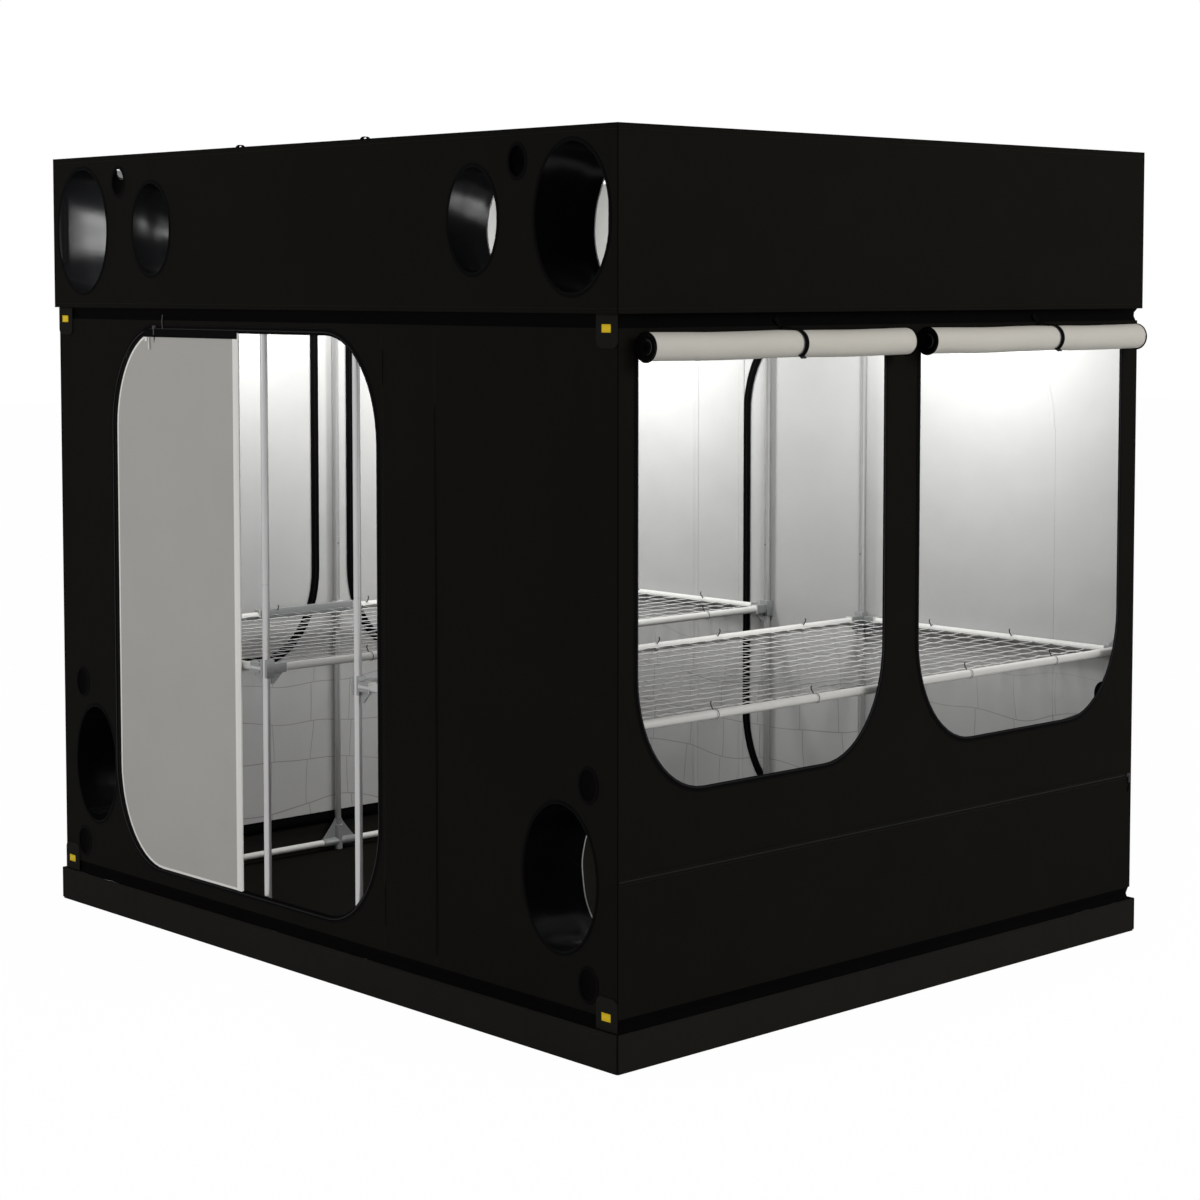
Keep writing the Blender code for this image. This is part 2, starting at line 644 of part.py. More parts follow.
def port_sleeve(name, port, wall_face, side, length):
    """A soft sleeve that runs inward from a port, narrows behind the wall and sags a little."""
    across, up, wide, tall = port
    outer_rings = []
    inner_rings = []
    for place_share, size_share, sag_share in SLEEVE_RING_SHARES:
        out = side * (wall_face - length * place_share)
        centre = (across, up - SLEEVE_SAG * sag_share)
        outer_size = (wide * size_share - 2 * PIECE_GAP, tall * size_share - 2 * PIECE_GAP)
        inner_size = (outer_size[0] - 2 * SLEEVE_WALL, outer_size[1] - 2 * SLEEVE_WALL)
        outer_rings.append([facing_y(*point, out) for point in oval(centre, outer_size, PORT_STEPS)])
        inner_rings.append([facing_y(*point, out) for point in oval(centre, inner_size, PORT_STEPS)])
    rings = outer_rings + list(reversed(inner_rings))
    add_piece(name, bridged_shape(rings, close_round=True), "black_fabric", smooth=True)


def build_sleeves():
    """The sleeves of the hood's ports and of the wall ports at the front and the back."""
    for index, port in enumerate(HOOD_PORTS):
        length = SLEEVE_LENGTH if port[2] > HOOD_PORTS[1][2] else SMALL_SLEEVE_LENGTH
        port_sleeve(f"hood_sleeve_{index + 1}", port, HALF_DEPTH, -1, length)
    for index, port in enumerate(WALL_PORTS):
        port_sleeve(f"front_sleeve_{index + 1}", port, WALL_FACE_Y, -1, SLEEVE_LENGTH)
        turned = (-port[0],) + port[1:]
        port_sleeve(f"back_sleeve_{index + 1}", turned, WALL_FACE_Y, 1, SLEEVE_LENGTH)


def build_sliders():
    """The zip sliders: one at each door's top edge and one at the end of each side zip."""
    up = DOOR_TOP + SLIDER_RISE
    across = DOOR_LEFT + CORNER_WIDTH
    for name, side in (("front_door_slider", -1), ("back_door_slider", 1)):
        centre = (-side * across, side * (WALL_FACE_Y + PIECE_GAP + SLIDER_THICKNESS / 2), up)
        size = (SLIDER_LENGTH, SLIDER_THICKNESS, SLIDER_WIDTH)
        add_piece(name, centred_box(centre, size), "zip_metal", centre)
    along = WALL_FACE_Y - SIDE_SLIDER_FROM_END
    for name, side in (("left_zip_slider", -1), ("right_zip_slider", 1)):
        out = side * (WALL_FACE_X + PIECE_GAP + SLIDER_THICKNESS / 2)
        centre = (out, side * along, TRAY_HEIGHT + SIDE_ZIP_ABOVE_TRAY)
        size = (SLIDER_THICKNESS, SLIDER_LENGTH, SLIDER_WIDTH)
        add_piece(name, centred_box(centre, size), "zip_metal", centre)


def centred_box(centre, size):
    """A box round its centre."""
    low = [middle - length / 2 for middle, length in zip(centre, size)]
    high = [middle + length / 2 for middle, length in zip(centre, size)]
    return box_shape(low, high)


def post_places():
    """Each post's name, X and Y: the corners, the inner posts of the front and back, and mid side."""
    places = []
    for level, along in (("front", -POST_Y), ("back", POST_Y)):
        for side, across in (("left", -POST_X), ("right", POST_X)):
            places.append((f"corner_post_{level}_{side}", across, along))
        for side, across in (("left", -POST_INNER_X), ("right", POST_INNER_X)):
            places.append((f"inner_post_{level}_{side}", across, along))
    places.append(("side_post_left", -POST_X, 0))
    places.append(("side_post_right", POST_X, 0))
    return places


def connector_webs(across, along, base, rail_level, post_level):
    """The webs of a connector, which narrow from the rail to the post's end."""
    half = SOCKET_WIDTH / 2
    middle = rail_level + half if post_level > rail_level else rail_level - half
    spread = GUSSET_BASE / 2
    web = [(-spread, base), (spread, base), (spread, middle), (half, post_level), (-half, post_level),
           (-spread, middle)]
    if post_level < rail_level:
        web.reverse()
    at_corner = abs(across) > POST_INNER_X and abs(along) > 0
    shapes = []
    if abs(along) > 0:
        reach = [(-spread, half), (-half, spread)][across < 0] if at_corner else (-spread, spread)
        outline = clipped(web, reach)
        outline = [(across + offset, up) for offset, up in outline]
        shapes.append(flat_shape(facing_y, outline, [], along - half, along + half))
    if at_corner or along == 0:
        reach = [(-spread, half), (-half, spread)][along < 0] if at_corner else (-spread, spread)
        outline = clipped(web, reach)
        outline = [(along + offset, up) for offset, up in outline]
        shapes.append(flat_shape(facing_x, outline, [], across - half, across + half))
    return shapes


def clipped(web, reach):
    """The web with every point brought inside the reach along the rail."""
    points = []
    for offset, up in web:
        point = (min(max(offset, reach[0]), reach[1]), up)
        if point not in points:
            points.append(point)
    return points


def rail_node(name, base, rail_level, post_level):
    """One level of rails round the tent, with a connector on the floor or roof at each post."""
    side_end = POST_Y - PIECE_GAP - POLE_DIAMETER
    front_end = POST_X - PIECE_GAP - POLE_DIAMETER
    rails = []
    for along in (-POST_Y, POST_Y):
        start, end = (-front_end, along, rail_level), (front_end, along, rail_level)
        rails.append(tube_shape(start, end, POLE_DIAMETER))
    for across in (-POST_X, POST_X):
        start, end = (across, -side_end, rail_level), (across, side_end, rail_level)
        rails.append(tube_shape(start, end, POLE_DIAMETER))
    node = add_piece(name, merged(rails), "white_tube")
    first_webs = []
    second_webs = []
    for _, across, along in post_places():
        webs = connector_webs(across, along, base, rail_level, post_level)
        first_webs.append(webs[0])
        second_webs.extend(webs[1:])
    for label, webs in (("webs_one", first_webs), ("webs_two", second_webs)):
        combine(node, add_piece(f"{name}_{label}", merged(webs), "white_tube"), "UNION")
    return node


def build_frame():
    """Rails at the floor and under the roof, the posts between them and the roof bars."""
    foot_level = RAIL_HEIGHT + SOCKET_WIDTH / 2 + SOCKET_REACH
    head_level = TOP_RAIL_HEIGHT - SOCKET_WIDTH / 2 - SOCKET_REACH
    rail_node("bottom_rails", FLOOR_TOP, RAIL_HEIGHT, foot_level)
    rail_node("top_rails", CEILING, TOP_RAIL_HEIGHT, head_level)
    for name, across, along in post_places():
        low = (across, along, foot_level + PIECE_GAP)
        high = (across, along, head_level - PIECE_GAP)
        add_piece(name, tube_shape(low, high, POLE_DIAMETER), "white_tube", smooth=True)
    bar_end = POST_Y - SOCKET_WIDTH / 2 - PIECE_GAP
    for side, across in (("left", -POST_INNER_X), ("right", POST_INNER_X)):
        start, end = (across, -bar_end, TOP_RAIL_HEIGHT), (across, bar_end, TOP_RAIL_HEIGHT)
        add_piece("roof_bar_" + side, tube_shape(start, end, POLE_DIAMETER), "white_tube", smooth=True)


def collar_shapes(side):
    """The four collars of one table, which hook round its posts from the inside."""
    spans = ((POST_INNER_X - COLLAR_REACH, POST_INNER_X + COLLAR_REACH), (TABLE_OUTER_X, POST_X))
    low_z, high_z = TABLE_HEIGHT - COLLAR_HEIGHT / 2, TABLE_HEIGHT + COLLAR_HEIGHT / 2
    outer_y = POST_Y + POLE_DIAMETER / 2
    inner_y = POST_Y - COLLAR_REACH
    shapes = []
    for near_x, far_x in spans:
        low_x, high_x = sorted((side * near_x, side * far_x))
        for low_y, high_y in ((-outer_y, -inner_y), (inner_y, outer_y)):
            shapes.append(box_shape((low_x, low_y, low_z), (high_x, high_y, high_z)))
    return shapes


def build_table(side, name):
    """One net table: four tubes and four collars joined, with the posts' bores cut through."""
    inner_x, outer_x = side * POST_INNER_X, side * TABLE_OUTER_X
    long_tubes = [
        tube_shape((across, -POST_Y, TABLE_HEIGHT), (across, POST_Y, TABLE_HEIGHT), TABLE_TUBE)
        for across in (inner_x, outer_x)
    ]
    cross_tubes = [
        tube_shape((inner_x, along, TABLE_HEIGHT), (side * POST_X, along, TABLE_HEIGHT), TABLE_TUBE)
        for along in (-POST_Y, POST_Y)
    ]
    frame = add_piece(f"table_frame_{name}", merged(long_tubes), "white_tube", (0, 0, TABLE_HEIGHT))
    combine(frame, add_piece(f"{name}_cross_tubes", merged(cross_tubes), "white_tube"), "UNION")
    combine(frame, add_piece(f"{name}_collars", merged(collar_shapes(side)), "white_tube"), "UNION")
    bore = POLE_DIAMETER + 2 * COLLAR_CLEARANCE
    half = COLLAR_HEIGHT / 2 + CUT_OVERRUN
    low, high = TABLE_HEIGHT - half, TABLE_HEIGHT + half
    bores = [
        tube_shape((side * across, along, low), (side * across, along, high), bore)
        for across in (POST_INNER_X, POST_X) for along in (-POST_Y, POST_Y)
    ]
    combine(frame, add_piece(f"{name}_bores", merged(bores), "white_tube"), "DIFFERENCE")


def net_drop(across_share, along_share):
    """How far the net hangs down at a place between its edges."""
    return NET_SAG * math.sin(math.pi * across_share) * math.sin(math.pi * along_share)


def build_net(side, name):
    """A square net stretched between the tubes of one table, sagging a little in the middle."""
    low_x = POST_INNER_X + COLLAR_REACH + PIECE_GAP
    high_x = TABLE_OUTER_X - TABLE_TUBE / 2 - PIECE_GAP
    high_y = POST_Y - COLLAR_REACH - PIECE_GAP
    low_y = -high_y
    column_step = (high_x - low_x - NET_CORD) / NET_COLUMNS
    row_step = (high_y - low_y - NET_CORD) / NET_ROWS
    lines_x = [low_x + column_step * index + side_of for index in range(NET_COLUMNS + 1)
               for side_of in (0, NET_CORD)]
    lines_y = [low_y + row_step * index + side_of for index in range(NET_ROWS + 1)
               for side_of in (0, NET_CORD)]
    shape = bmesh.new()
    corners = {}
    for column, across in enumerate(lines_x):
        for row, along in enumerate(lines_y):
            drop = net_drop((across - low_x) / (high_x - low_x), (along - low_y) / (high_y - low_y))
            top = TABLE_HEIGHT + NET_THICKNESS / 2 - drop
            corners[column, row] = shape.verts.new((side * across, along, top))
    for column in range(len(lines_x) - 1):
        for row in range(len(lines_y) - 1):
            if column % 2 and row % 2:
                continue
            shape.faces.new((corners[column, row], corners[column + 1, row],
                             corners[column + 1, row + 1], corners[column, row + 1]))
    grown = bmesh.ops.extrude_face_region(shape, geom=list(shape.faces), use_keep_orig=True)
    moved = [item for item in grown["geom"] if isinstance(item, bmesh.types.BMVert)]
    bmesh.ops.translate(shape, verts=moved, vec=(0, 0, -NET_THICKNESS))
    add_piece(f"table_net_{name}", shape, "net_cord", (0, 0, TABLE_HEIGHT))


def build_tables():
    """The two net tables, one each side of the aisle."""
    for side, name in ((-1, "left"), (1, "right")):
        build_table(side, name)
        build_net(side, name)


def main():
    clear_scene()
    build_tray()
    build_bands()
    build_walls()
    build_hood()
    build_front_door()
    build_front_facing()
    build_back_door()
    build_left_windows()
    build_rolls()
    build_straps()
    build_tabs()
    build_sleeves()
    build_sliders()
    build_frame()
    build_tables()


main()
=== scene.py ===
"""Looks of the indoor grow tent: its cloth, lining, zips, straps, tubes and nets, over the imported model.

Lengths are in metres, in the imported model's frame: +Z up, the front door on -Y, the open windows on +X.
"""
import math

import bmesh
import bpy
import numpy as np
from mathutils import Matrix, Vector, noise
from mathutils.geometry import delaunay_2d_cdt


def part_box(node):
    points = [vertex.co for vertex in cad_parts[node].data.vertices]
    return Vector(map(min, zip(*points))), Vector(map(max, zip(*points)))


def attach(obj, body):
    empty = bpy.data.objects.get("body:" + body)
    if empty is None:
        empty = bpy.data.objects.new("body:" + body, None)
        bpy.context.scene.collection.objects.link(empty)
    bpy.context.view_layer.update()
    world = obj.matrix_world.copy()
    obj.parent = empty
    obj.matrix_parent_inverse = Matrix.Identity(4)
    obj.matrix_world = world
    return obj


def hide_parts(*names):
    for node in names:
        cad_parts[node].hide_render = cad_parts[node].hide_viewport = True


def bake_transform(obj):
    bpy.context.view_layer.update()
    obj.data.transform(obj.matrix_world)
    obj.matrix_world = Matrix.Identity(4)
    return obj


# Camera
CAMERA_PLACE = (5.5023, -5.0542, 1.8154)
CAMERA_TURN = (math.radians(90 - 3.831), 0, math.radians(47.088))
LENS = 78.536
SENSOR = 36
SHIFT_DOWN = 0.1166

# Tent
HALF_WIDTH = 1.20
HALF_DEPTH = 1.00
HEIGHT = 2.18
FACE_INSET = 0.010
FACE_X = HALF_WIDTH - FACE_INSET
FACE_Y = HALF_DEPTH - FACE_INSET
TRAY_TOP = 0.093
WALL_BOTTOM = 0.125
WALL_TOP = 1.717
HOOD_BOTTOM = 1.750

# Openings
DOOR_LEFT = -0.907
DOOR_RIGHT = 0.303
DOOR_BOTTOM = 0.170
DOOR_TOP = 1.690
CORNER_WIDTH = 0.215
CORNER_HEIGHT = 0.280
CORNER_STEPS = 14
CORNER_POINTS = CORNER_STEPS + 1
WINDOW_BOTTOM = 0.636
WINDOW_TOP = 1.675
WINDOW_SPANS = (("near", (-0.925, -0.073)), ("far", (0.067, 0.912)))
SLIT = 0.002
BIG_PORT = (0.257, 0.355)
SMALL_PORT = (0.183, 0.258)
SLIM_PORT = (0.210, 0.340)
CABLE_PORT = (0.058, 0.076)
HOOD_PORT_Z = 1.970
HOOD_PORTS = ((-1.045, BIG_PORT), (-0.692, SMALL_PORT), (0.692, SMALL_PORT), (1.045, BIG_PORT))
WALL_PORT_Z = 0.425
WALL_PORTS = ((-1.020, SLIM_PORT), (0.990, BIG_PORT))
HOOD_CABLE_PORTS = ((-0.855, 2.105), (0.855, 2.105))
CABLE_PORTS = ((-1.090, 0.188), (-1.090, 0.658), (1.090, 0.188), (1.090, 0.658))

# Front door's fold and the seams at the hinges
FOLD_X = -0.292
FOLD_Y = -0.9902
FOLD_GAP = 0.0015
FOLD_RADIUS = 0.0022
SEAM_REACH = 0.009
SEAM_BEND = 0.0035
SEAM_THICKNESS = 0.0004
SEAM_SHARES = (-1, -0.6, -0.4, -0.25, -0.1, 0.1, 0.25, 0.4, 0.6, 1)
SEAM_LAYER_SHARES = (1.4, 0.4)
COVER_WIDTH = 0.014
FLAP_LIFT = 0.0004
FLAP_WAVE = 0.0027
FLAP_STEP = 0.022
HEM_WIDTH = 0.0065
HEM_RISE = 0.0009
HEM_END = 0.012
HEM_SINK = -0.0002
HEM_PLACE_SHARE = 0.55
FOLD_HEM = (0.022, 0.0014, HEM_SINK)
TOP_HEM_Z = 1.6812
TOP_HEM_END = -0.744
TOP_HEM = (0.0222, 0.0018, 0.0002)

# Cloth
CLOTH = 0.0016
RIPPLE = 0.0018
ROOF_WAVE = 0.0026
FLOOR_SAG = 0.0012
GRID_STEP = 0.050
DRIFT_SCALES = (1.7, 0.9)
WAVE_SCALES = (11, 4.3, 2.2)
WAVE_SHARES = (0.7, 0.6)
MITRE_LEAST = 0.5
BEVEL_SHARE = 0.6
EDGE_FADE = 0.070
ROW_SHARE = 0.87
CLEAR_SHARE = 0.45
TINY = 1e-12
MERGE_DISTANCE = 1e-7
TRAY_WAVE = 0.0012
BAND_WAVE = 0.0006
TRAY_LEVELS = ((0.0005, 0.0006), (0, TRAY_TOP))
LOW_BAND_LEVELS = (
    ((0.0075, TRAY_TOP - 0.002), (0.0135, TRAY_TOP + 0.006)),
    ((0.0150, TRAY_TOP + 0.014), (0.0105, WALL_BOTTOM + 0.0015)),
)
HIGH_BAND_LEVELS = (
    ((0.0110, WALL_TOP - 0.0015), (0.0150, WALL_TOP + 0.012)),
    ((0.0145, WALL_TOP + 0.022), (0.0070, HOOD_BOTTOM + 0.002)),
)
FLOOR_INSET = 0.001
FLOOR_TOP = 0.0022
RING_CORNER = 0.006

# Edges, seams and zips
PIPING = 0.0018
CORNER_PIPING = 0.0020
LEVEL_PIPING = (
    (0.0015, HEIGHT - 0.0020), (PIPING, HOOD_BOTTOM + 0.0020), (PIPING, TRAY_TOP - 0.0019),
    (0.0118, WALL_TOP - PIPING), (0.0118, WALL_BOTTOM + PIPING),
)
UPRIGHT_PIPING = ((0.0015, HOOD_BOTTOM, HEIGHT), (0.0115, WALL_BOTTOM, WALL_TOP), (0.0015, 0.004, TRAY_TOP))
HEM_STITCH_LEVELS = (HOOD_BOTTOM + 0.012, HEIGHT - 0.014, TRAY_TOP - 0.010)
SEAM_PLACES = (0.330, 0.535)
SEAM_TAPE = (0.009, 0.0007, -0.0012)
LINING_SEAM = (0.022, 0.0005, -0.0003)
SEAM_STITCH_SHARE = 0.32
RIM_TAPE = (0.009, 0.0014, 0)
RIM_REACH = 0.006
RIM_SINK = 0.0006
TAPE = 0.0011
TAPE_STEP = 0.03
TAPE_SOFT_SHARE = 0.3
TAPE_SIDE_SHARE = 0.6
ZIP_TAPE_WIDTH = 0.030
ZIP_TAPE_INSET = 0.0043
ZIP_CHAIN_SHARE = 0.8
ZIP_STITCH_SINK = 0.0003
ZIP_STITCH_SHARE = 0.42
BINDING_WIDTH = 0.013
BINDING_SINK = -0.0005
BINDING_STITCH_SHARE = 0.36
FACING_TAPE = (0.008, 0.0013, 0)
FACING_INSET = 0.001
CHAIN_WIDTH = 0.0052
CHAIN_RISE = 0.0022
CHAIN_TOP_SHARE = 0.7
CHAIN_GAP_SHARE = 0.52
CHAIN_SINK = -0.0004
OPENING_INSETS = (-BINDING_WIDTH * 0.62, -0.0035)
TOOTH_PITCH = 0.0044
STITCH_LENGTH = 0.0042
STITCH_PITCH = 0.0068
STITCH_WIDTH = 0.0009
STITCH_RISE_SHARE = 0.7
STITCH_TOP_SHARE = 0.6
STITCH_CORNER = 0.001
STITCH_SINK = 0.0004
SIDE_ZIP_Z = 0.445
SIDE_ZIP_END = 0.985
SIDE_ZIP_LIP = 0.0062
SIDE_ZIP_TAPE = (0.0082, 0.0004, -0.0003)
SIDE_ZIP_STEP = 0.1
SIDE_CHAIN_SINK = -0.0016
SIDE_STITCH_LIFT = 0.0001
SIDE_STITCH_OFFSET = 0.002

# Sleeves and cuffs: a cuff has a length, a closing share and a sag
SLEEVE_STEPS = 56
SLEEVE_RINGS = 15
SLEEVE_LONG = 0.180
SLEEVE_SHORT = 0.118
SLEEVE_SAG = 0.022
SLEEVE_GAP = 0.0006
SLEEVE_CLOSING = 0.04
SLEEVE_CLOSING_START = 0.3
SLEEVE_TAPER_SHARE = 0.05
SLEEVE_FOLD_SHARE = 0.0045
SLEEVE_HANG_SHARE = 0.03
SLEEVE_FOLDS = (9, 14)
SLEEVE_FINE_SHARE = 0.7
SLEEVE_FOLD_GROWTH = 2.2
SLEEVE_HANG_SCALE = 1.5
SLEEVE_SAG_POWER = 1.6
SLEEVE_SEED = 1.7
CUFF_SEED = 2.3
DRAWCORD = 0.0020
OPEN_CUFF = (0.012, 0.1, -0.036)
SHUT_CUFF = (0.030, 1.25, 0.004)
FLAT_CUFF = (0.004, 1.25, 0.004)
POST_EDGE = 1.1605
POST_SOFTNESS = 0.020
PORT_NECK = 0.012

# Rolls and straps
ROLL_TURNS = 6.4
ROLL_STEPS = 220
ROLL_STATIONS = 34
ROLL_START = math.radians(196)
ROLL_CLOSING = 0.023
ROLL_SHORT = 0.012
ROLL_LAYER = 0.0013
ROLL_SAG = 0.0018
ROLL_WRINKLE = 0.0006
ROLL_PINCH_WIDTH = 0.03
ROLL_PINCH_SHARE = 0.035
WOUND_STEPS = 149
WOUND_INSET = 0.0016
WOUND_CLOSING = 0.030
WOUND_LIFT = 0.0006
WOUND_RADIUS = 0.0016
END_RIM_INSET = 0.0006
END_RIM_LIFT = 0.0010
END_RIM = 0.0017
CAP_INSET = 0.0008
CAP_LIFT = 0.0003
CAP_HOLLOW = 0.004
CAP_SHARES = (1, 0.8, 0.55, 0.3, 0.1)
STRAPS = (("near", -0.442), ("far", 0.554))
STRAP_SIZE = (0.0125, 0.0014)
STRAP_ROOT_SIZE = (0.0125, 0.0010)
STRAP_LIFT = 0.0008
STRAP_DRIFT = 0.004
STRAP_STEPS = 24
STRAP_TURN = (math.radians(104), math.radians(-6.6 * STRAP_STEPS))
STRAP_START = ((1.1916, -0.012, 1.7140), (1.1955, -0.009, 1.7155), (1.2030, -0.006, 1.7148))
STRAP_ROOT = ((1.1904, -0.030, 1.737), (1.1906, -0.021, 1.726), (1.1906, -0.014, 1.7185))
BUCKLE_SIZE = (0.016, 0.018, 0.0032)
BUCKLE_LIFT = (0.001, 0, 0.0005)
BUCKLE_EDGE = 0.0008
BUCKLE_TURN = math.radians(38)

# Corner tabs
TAB_HALF = 0.0355
TAB_X = HALF_WIDTH - 0.0455
TAB_LENGTH = 0.079
TAB_CORNER = 0.017
TAB_LIFT = 0.0021
TAB_GAP = 0.0003
TAB_STEP = 0.010
TAB_BULGE = 0.0006
TAB_STITCH_LIFT = 0.0022
TAB_STITCH_SHARE = 0.11
PATCH_LIFT = 0.0029
PATCH_DROP = 0.033
PATCH_SIZE = (0.030, 0.0012, 0.019)
PATCH_EDGE = 0.0005
PATCH_RIDGES = 15
RIDGE_LIFT = 0.0005
RIDGE_HEIGHT = 0.003
RIDGE_EDGE = 0.0003
RIDGE_PLACE_SHARE = 0.86
RIDGE_WIDTH_SHARE = 0.8

# Zip sliders and small fittings: places across, up and out from the slider's middle
SLIDER_BODY = ((0, 0, 0.0018), (0.016, 0.0098, 0.0030), 0.0012)
SLIDER_PULL = ((0.001, -0.011, 0.0046), (0.0055, 0.021, 0.0012), 0.0005)
SLIDER_BRIDGE = ((-0.005, 0, 0.0032), (-0.004, 0, 0.0052), (0.004, 0, 0.0052), (0.005, 0, 0.0032))
BRIDGE_RADIUS = 0.0009
TAIL_START = (0.001, -0.020, 0.0046)
TAIL_STEP = (0.001, -0.0045, -0.0006)
TAIL_RADIUS = 0.0014
DOOR_SLIDER_LIFT = 0.007
SIDE_SLIDER_INSET = 0.016
TAG_PLACE = (-0.727, -0.9962, 1.664)
TAG_SIZE = (0.010, 0.003, 0.012)
TAG_EDGE = 0.001
TAG_CORD = ((-0.714, -0.9962, 1.669), (-0.713, -0.9967, 1.651), (-0.711, -0.9962, 1.636))
TAG_CORD_RADIUS = 0.0024
ROOF_LOOPS = (-0.261, 0.277)
ROOF_LOOP_SIZE = (0.014, 0.007)
ROOF_LOOP_STRIP = (0.010, 0.0012)
ROOF_LOOP_Y = -HALF_DEPTH + 0.001
ROOF_LOOP_Z = HEIGHT - 0.002
RIBBON_BULGE_SHARE = 1.04
TIE_LOOP = ((-0.651, -0.9912, 1.732), (-0.651, -0.9935, 1.712), (-0.651, -0.9912, 1.693))
TIE_LOOP_STRIP = (0.004, 0.0008)

# Posts and rails
POLE = 0.020
POST_X = 1.1727
POST_Y = 0.9727
POST_INNER_X = 0.200
RAIL_LEVELS = (("bottom_rails", 0.030, 1), ("top_rails", 2.1617, -1))
RAIL_END = 0.020
JOINT_SHARE = 0.46
JOINT_GAP = 0.0012
JOINT_PIN = (-0.004, 0.005)
JOINT_PIN_SHARE = 0.46
TUBE_SOFT_SHARE = 0.06
BUTTON_DROP = 0.022
BUTTON_END = 0.020
BUTTON_REACH = 0.0014
BUTTON_RADII = (0.0034, 0.0030)
SOCKET_RADII = (0.0138, 0.0138, 0.0126)
SOCKET_LIFT = 0.0005
SOCKET_SOFT = 0.0015
ARM_RADII = (0.0136, 0.0136, 0.0124)
ARM_END = 0.002
GUSSET_REACH = 0.061
GUSSET_RISE = 0.074
GUSSET_THICKNESS = 0.006
GUSSET_TIP = 0.011
GUSSET_FOOT_SHARE = 0.16
GUSSET_POWER = 1.15
RIVET_PLACE = 0.026
RIVET_ENDS = (0.013, 0.0150)
RIVET_RADII = (0.0030, 0.0024)

# Net tables
TABLE_Z = 0.790
TABLE_TUBE = 0.022
TABLE_OUTER_X = 1.139
POST_GAP = 0.0125
HOOK_SIZE = 0.0156
HOOK_OPEN = 0.0092
HOOK_BORE = 0.0106
HOOK_CORNER = math.radians(-30)
HOOK_STEPS = 20
HOOK_HALF_HEIGHT = 0.0245
HOOK_SOFT = 0.0012
HOOK_END_SHARE = 0.94
BRACKET_PLACE = 0.038
BRACKET_SIZE = (0.042, 0.0236, 0.0262)
BRACKET_SHIFT = 0.0014
BRACKET_EDGE = 0.0016
LIP_PLACE = 0.0205
LIP_WIDTH = 0.0022
LIP_RISE = 0.0016
LIP_EDGE = 0.0006
WEB_LIFT = 0.0125
WEB_START = 0.0150
WEB = (0.036, 0.030, 0.003)
BOLT_SHIFT = 0.006
BOLT_ENDS = (0.0115, 0.0148, 0.0154)
BOLT_RADII = (0.0042, 0.0042, 0.0034)
JOINER_Z = TABLE_Z + 0.003
JOINER_BLOCKS = (
    (0, -0.150, (0.0250, 0.360, 0.0300), 0.0020, 0), (0, -0.332, (0.0266, 0.0030, 0.0316), 0.0006, 1),
    (0, 0.032, (0.0266, 0.0030, 0.0316), 0.0006, 1), (0.0168, 0, (0.0110, 0.0300, 0.0300), 0.0016, 1),
    (0.030, -0.0132, (0.0250, 0.0032, 0.0300), 0.0010, 1),
    (0.030, 0.0132, (0.0250, 0.0032, 0.0300), 0.0010, 1),
)
CLIP_PLACES = (-0.62, -0.264, 0.09, 0.335, 0.70)
CLIP_SHARES = (0.3, 0.62)
CLIP_BAND = (0.008, 0.0014)
CLIP_LIFTS = (0.0008, 0.0006)
CLIP_HOOK = ((0.006, 0.007), (0.004, 0.008), (-0.003, 0.005))
CLIP_WIRE = 0.0016
CLIP_STEPS = 14
CLIP_TURN = (math.radians(-150), math.radians(20 * CLIP_STEPS))
NET_CORD = 0.0034
NET_SAG = 0.012
NET_REACH = 0.004
NET_PLAY = 0.0010
NET_BEAT = 2.1
# Each way of the net: lines, lines crossed, margin, sway, drift, beat, noise steps, lead and cord's share
NET_WAYS = (
    (14, 28, 0.004, 0.0014, 0.006, 1.9, (3.1, 5), 0, 1),
    (28, 14, 0.002, 0.0012, 0.004, 2.3, (2.3, 4), 2, 0.62),
)

# Lamps: place, target, size, power and colour
LAMPS = (
    ("side_lamp", (7.0, 1.5, 4.6), (0.9, 0, 1.1), (3.2, 3.2), 290, (1.0, 0.97, 0.93)),
    ("front_lamp", (-1.5, -7.0, 3.8), (0, -0.8, 1.1), (3.4, 3.4), 156, (1.0, 0.985, 0.96)),
)
HOOD_LAMPS = (
    ((-0.62, 0.47), (-1.10, 1.00), 26), ((0.66, 0.47), (0.66, 1.00), 21),
    ((-0.66, -0.36), (-1.20, -0.50), 20), ((0.62, -0.30), (0.80, 0.90), 9),
)
HOOD_LAMP_Z = 2.020
HOOD_LAMP_AIM_Z = 1.420
HOOD_LAMP_SIZE = (0.36, 0.30)
HOOD_LAMP_COLOUR = (1.0, 1.0, 0.985)
HOOD_GLEAMS = (
    ("hood_sleeve_1", (-0.72, -0.52, 1.94), (-1.16, -0.93, 1.97), (0.64, 0.09), 14),
    ("hood_sleeve_2", (-0.34, -0.54, 1.90), (-0.78, -0.95, 1.99), (0.40, 0.14), 5.5),
    ("hood_sleeve_3", (1.04, -0.54, 1.74), (0.60, -0.95, 2.00), (0.40, 0.16), 6),
)
FLOOR_REACH = 30
FLOOR_Z = -0.001
FLOOR_GLOW_SHARE = 0.985
FLOOR_TONE = (0.82, 0.82, 0.82, 1)
FLOOR_ROUGHNESS = 0.9
SKY_COLOUR = (0.97, 0.985, 1.0, 1)
SKY_STRENGTH = 0.32

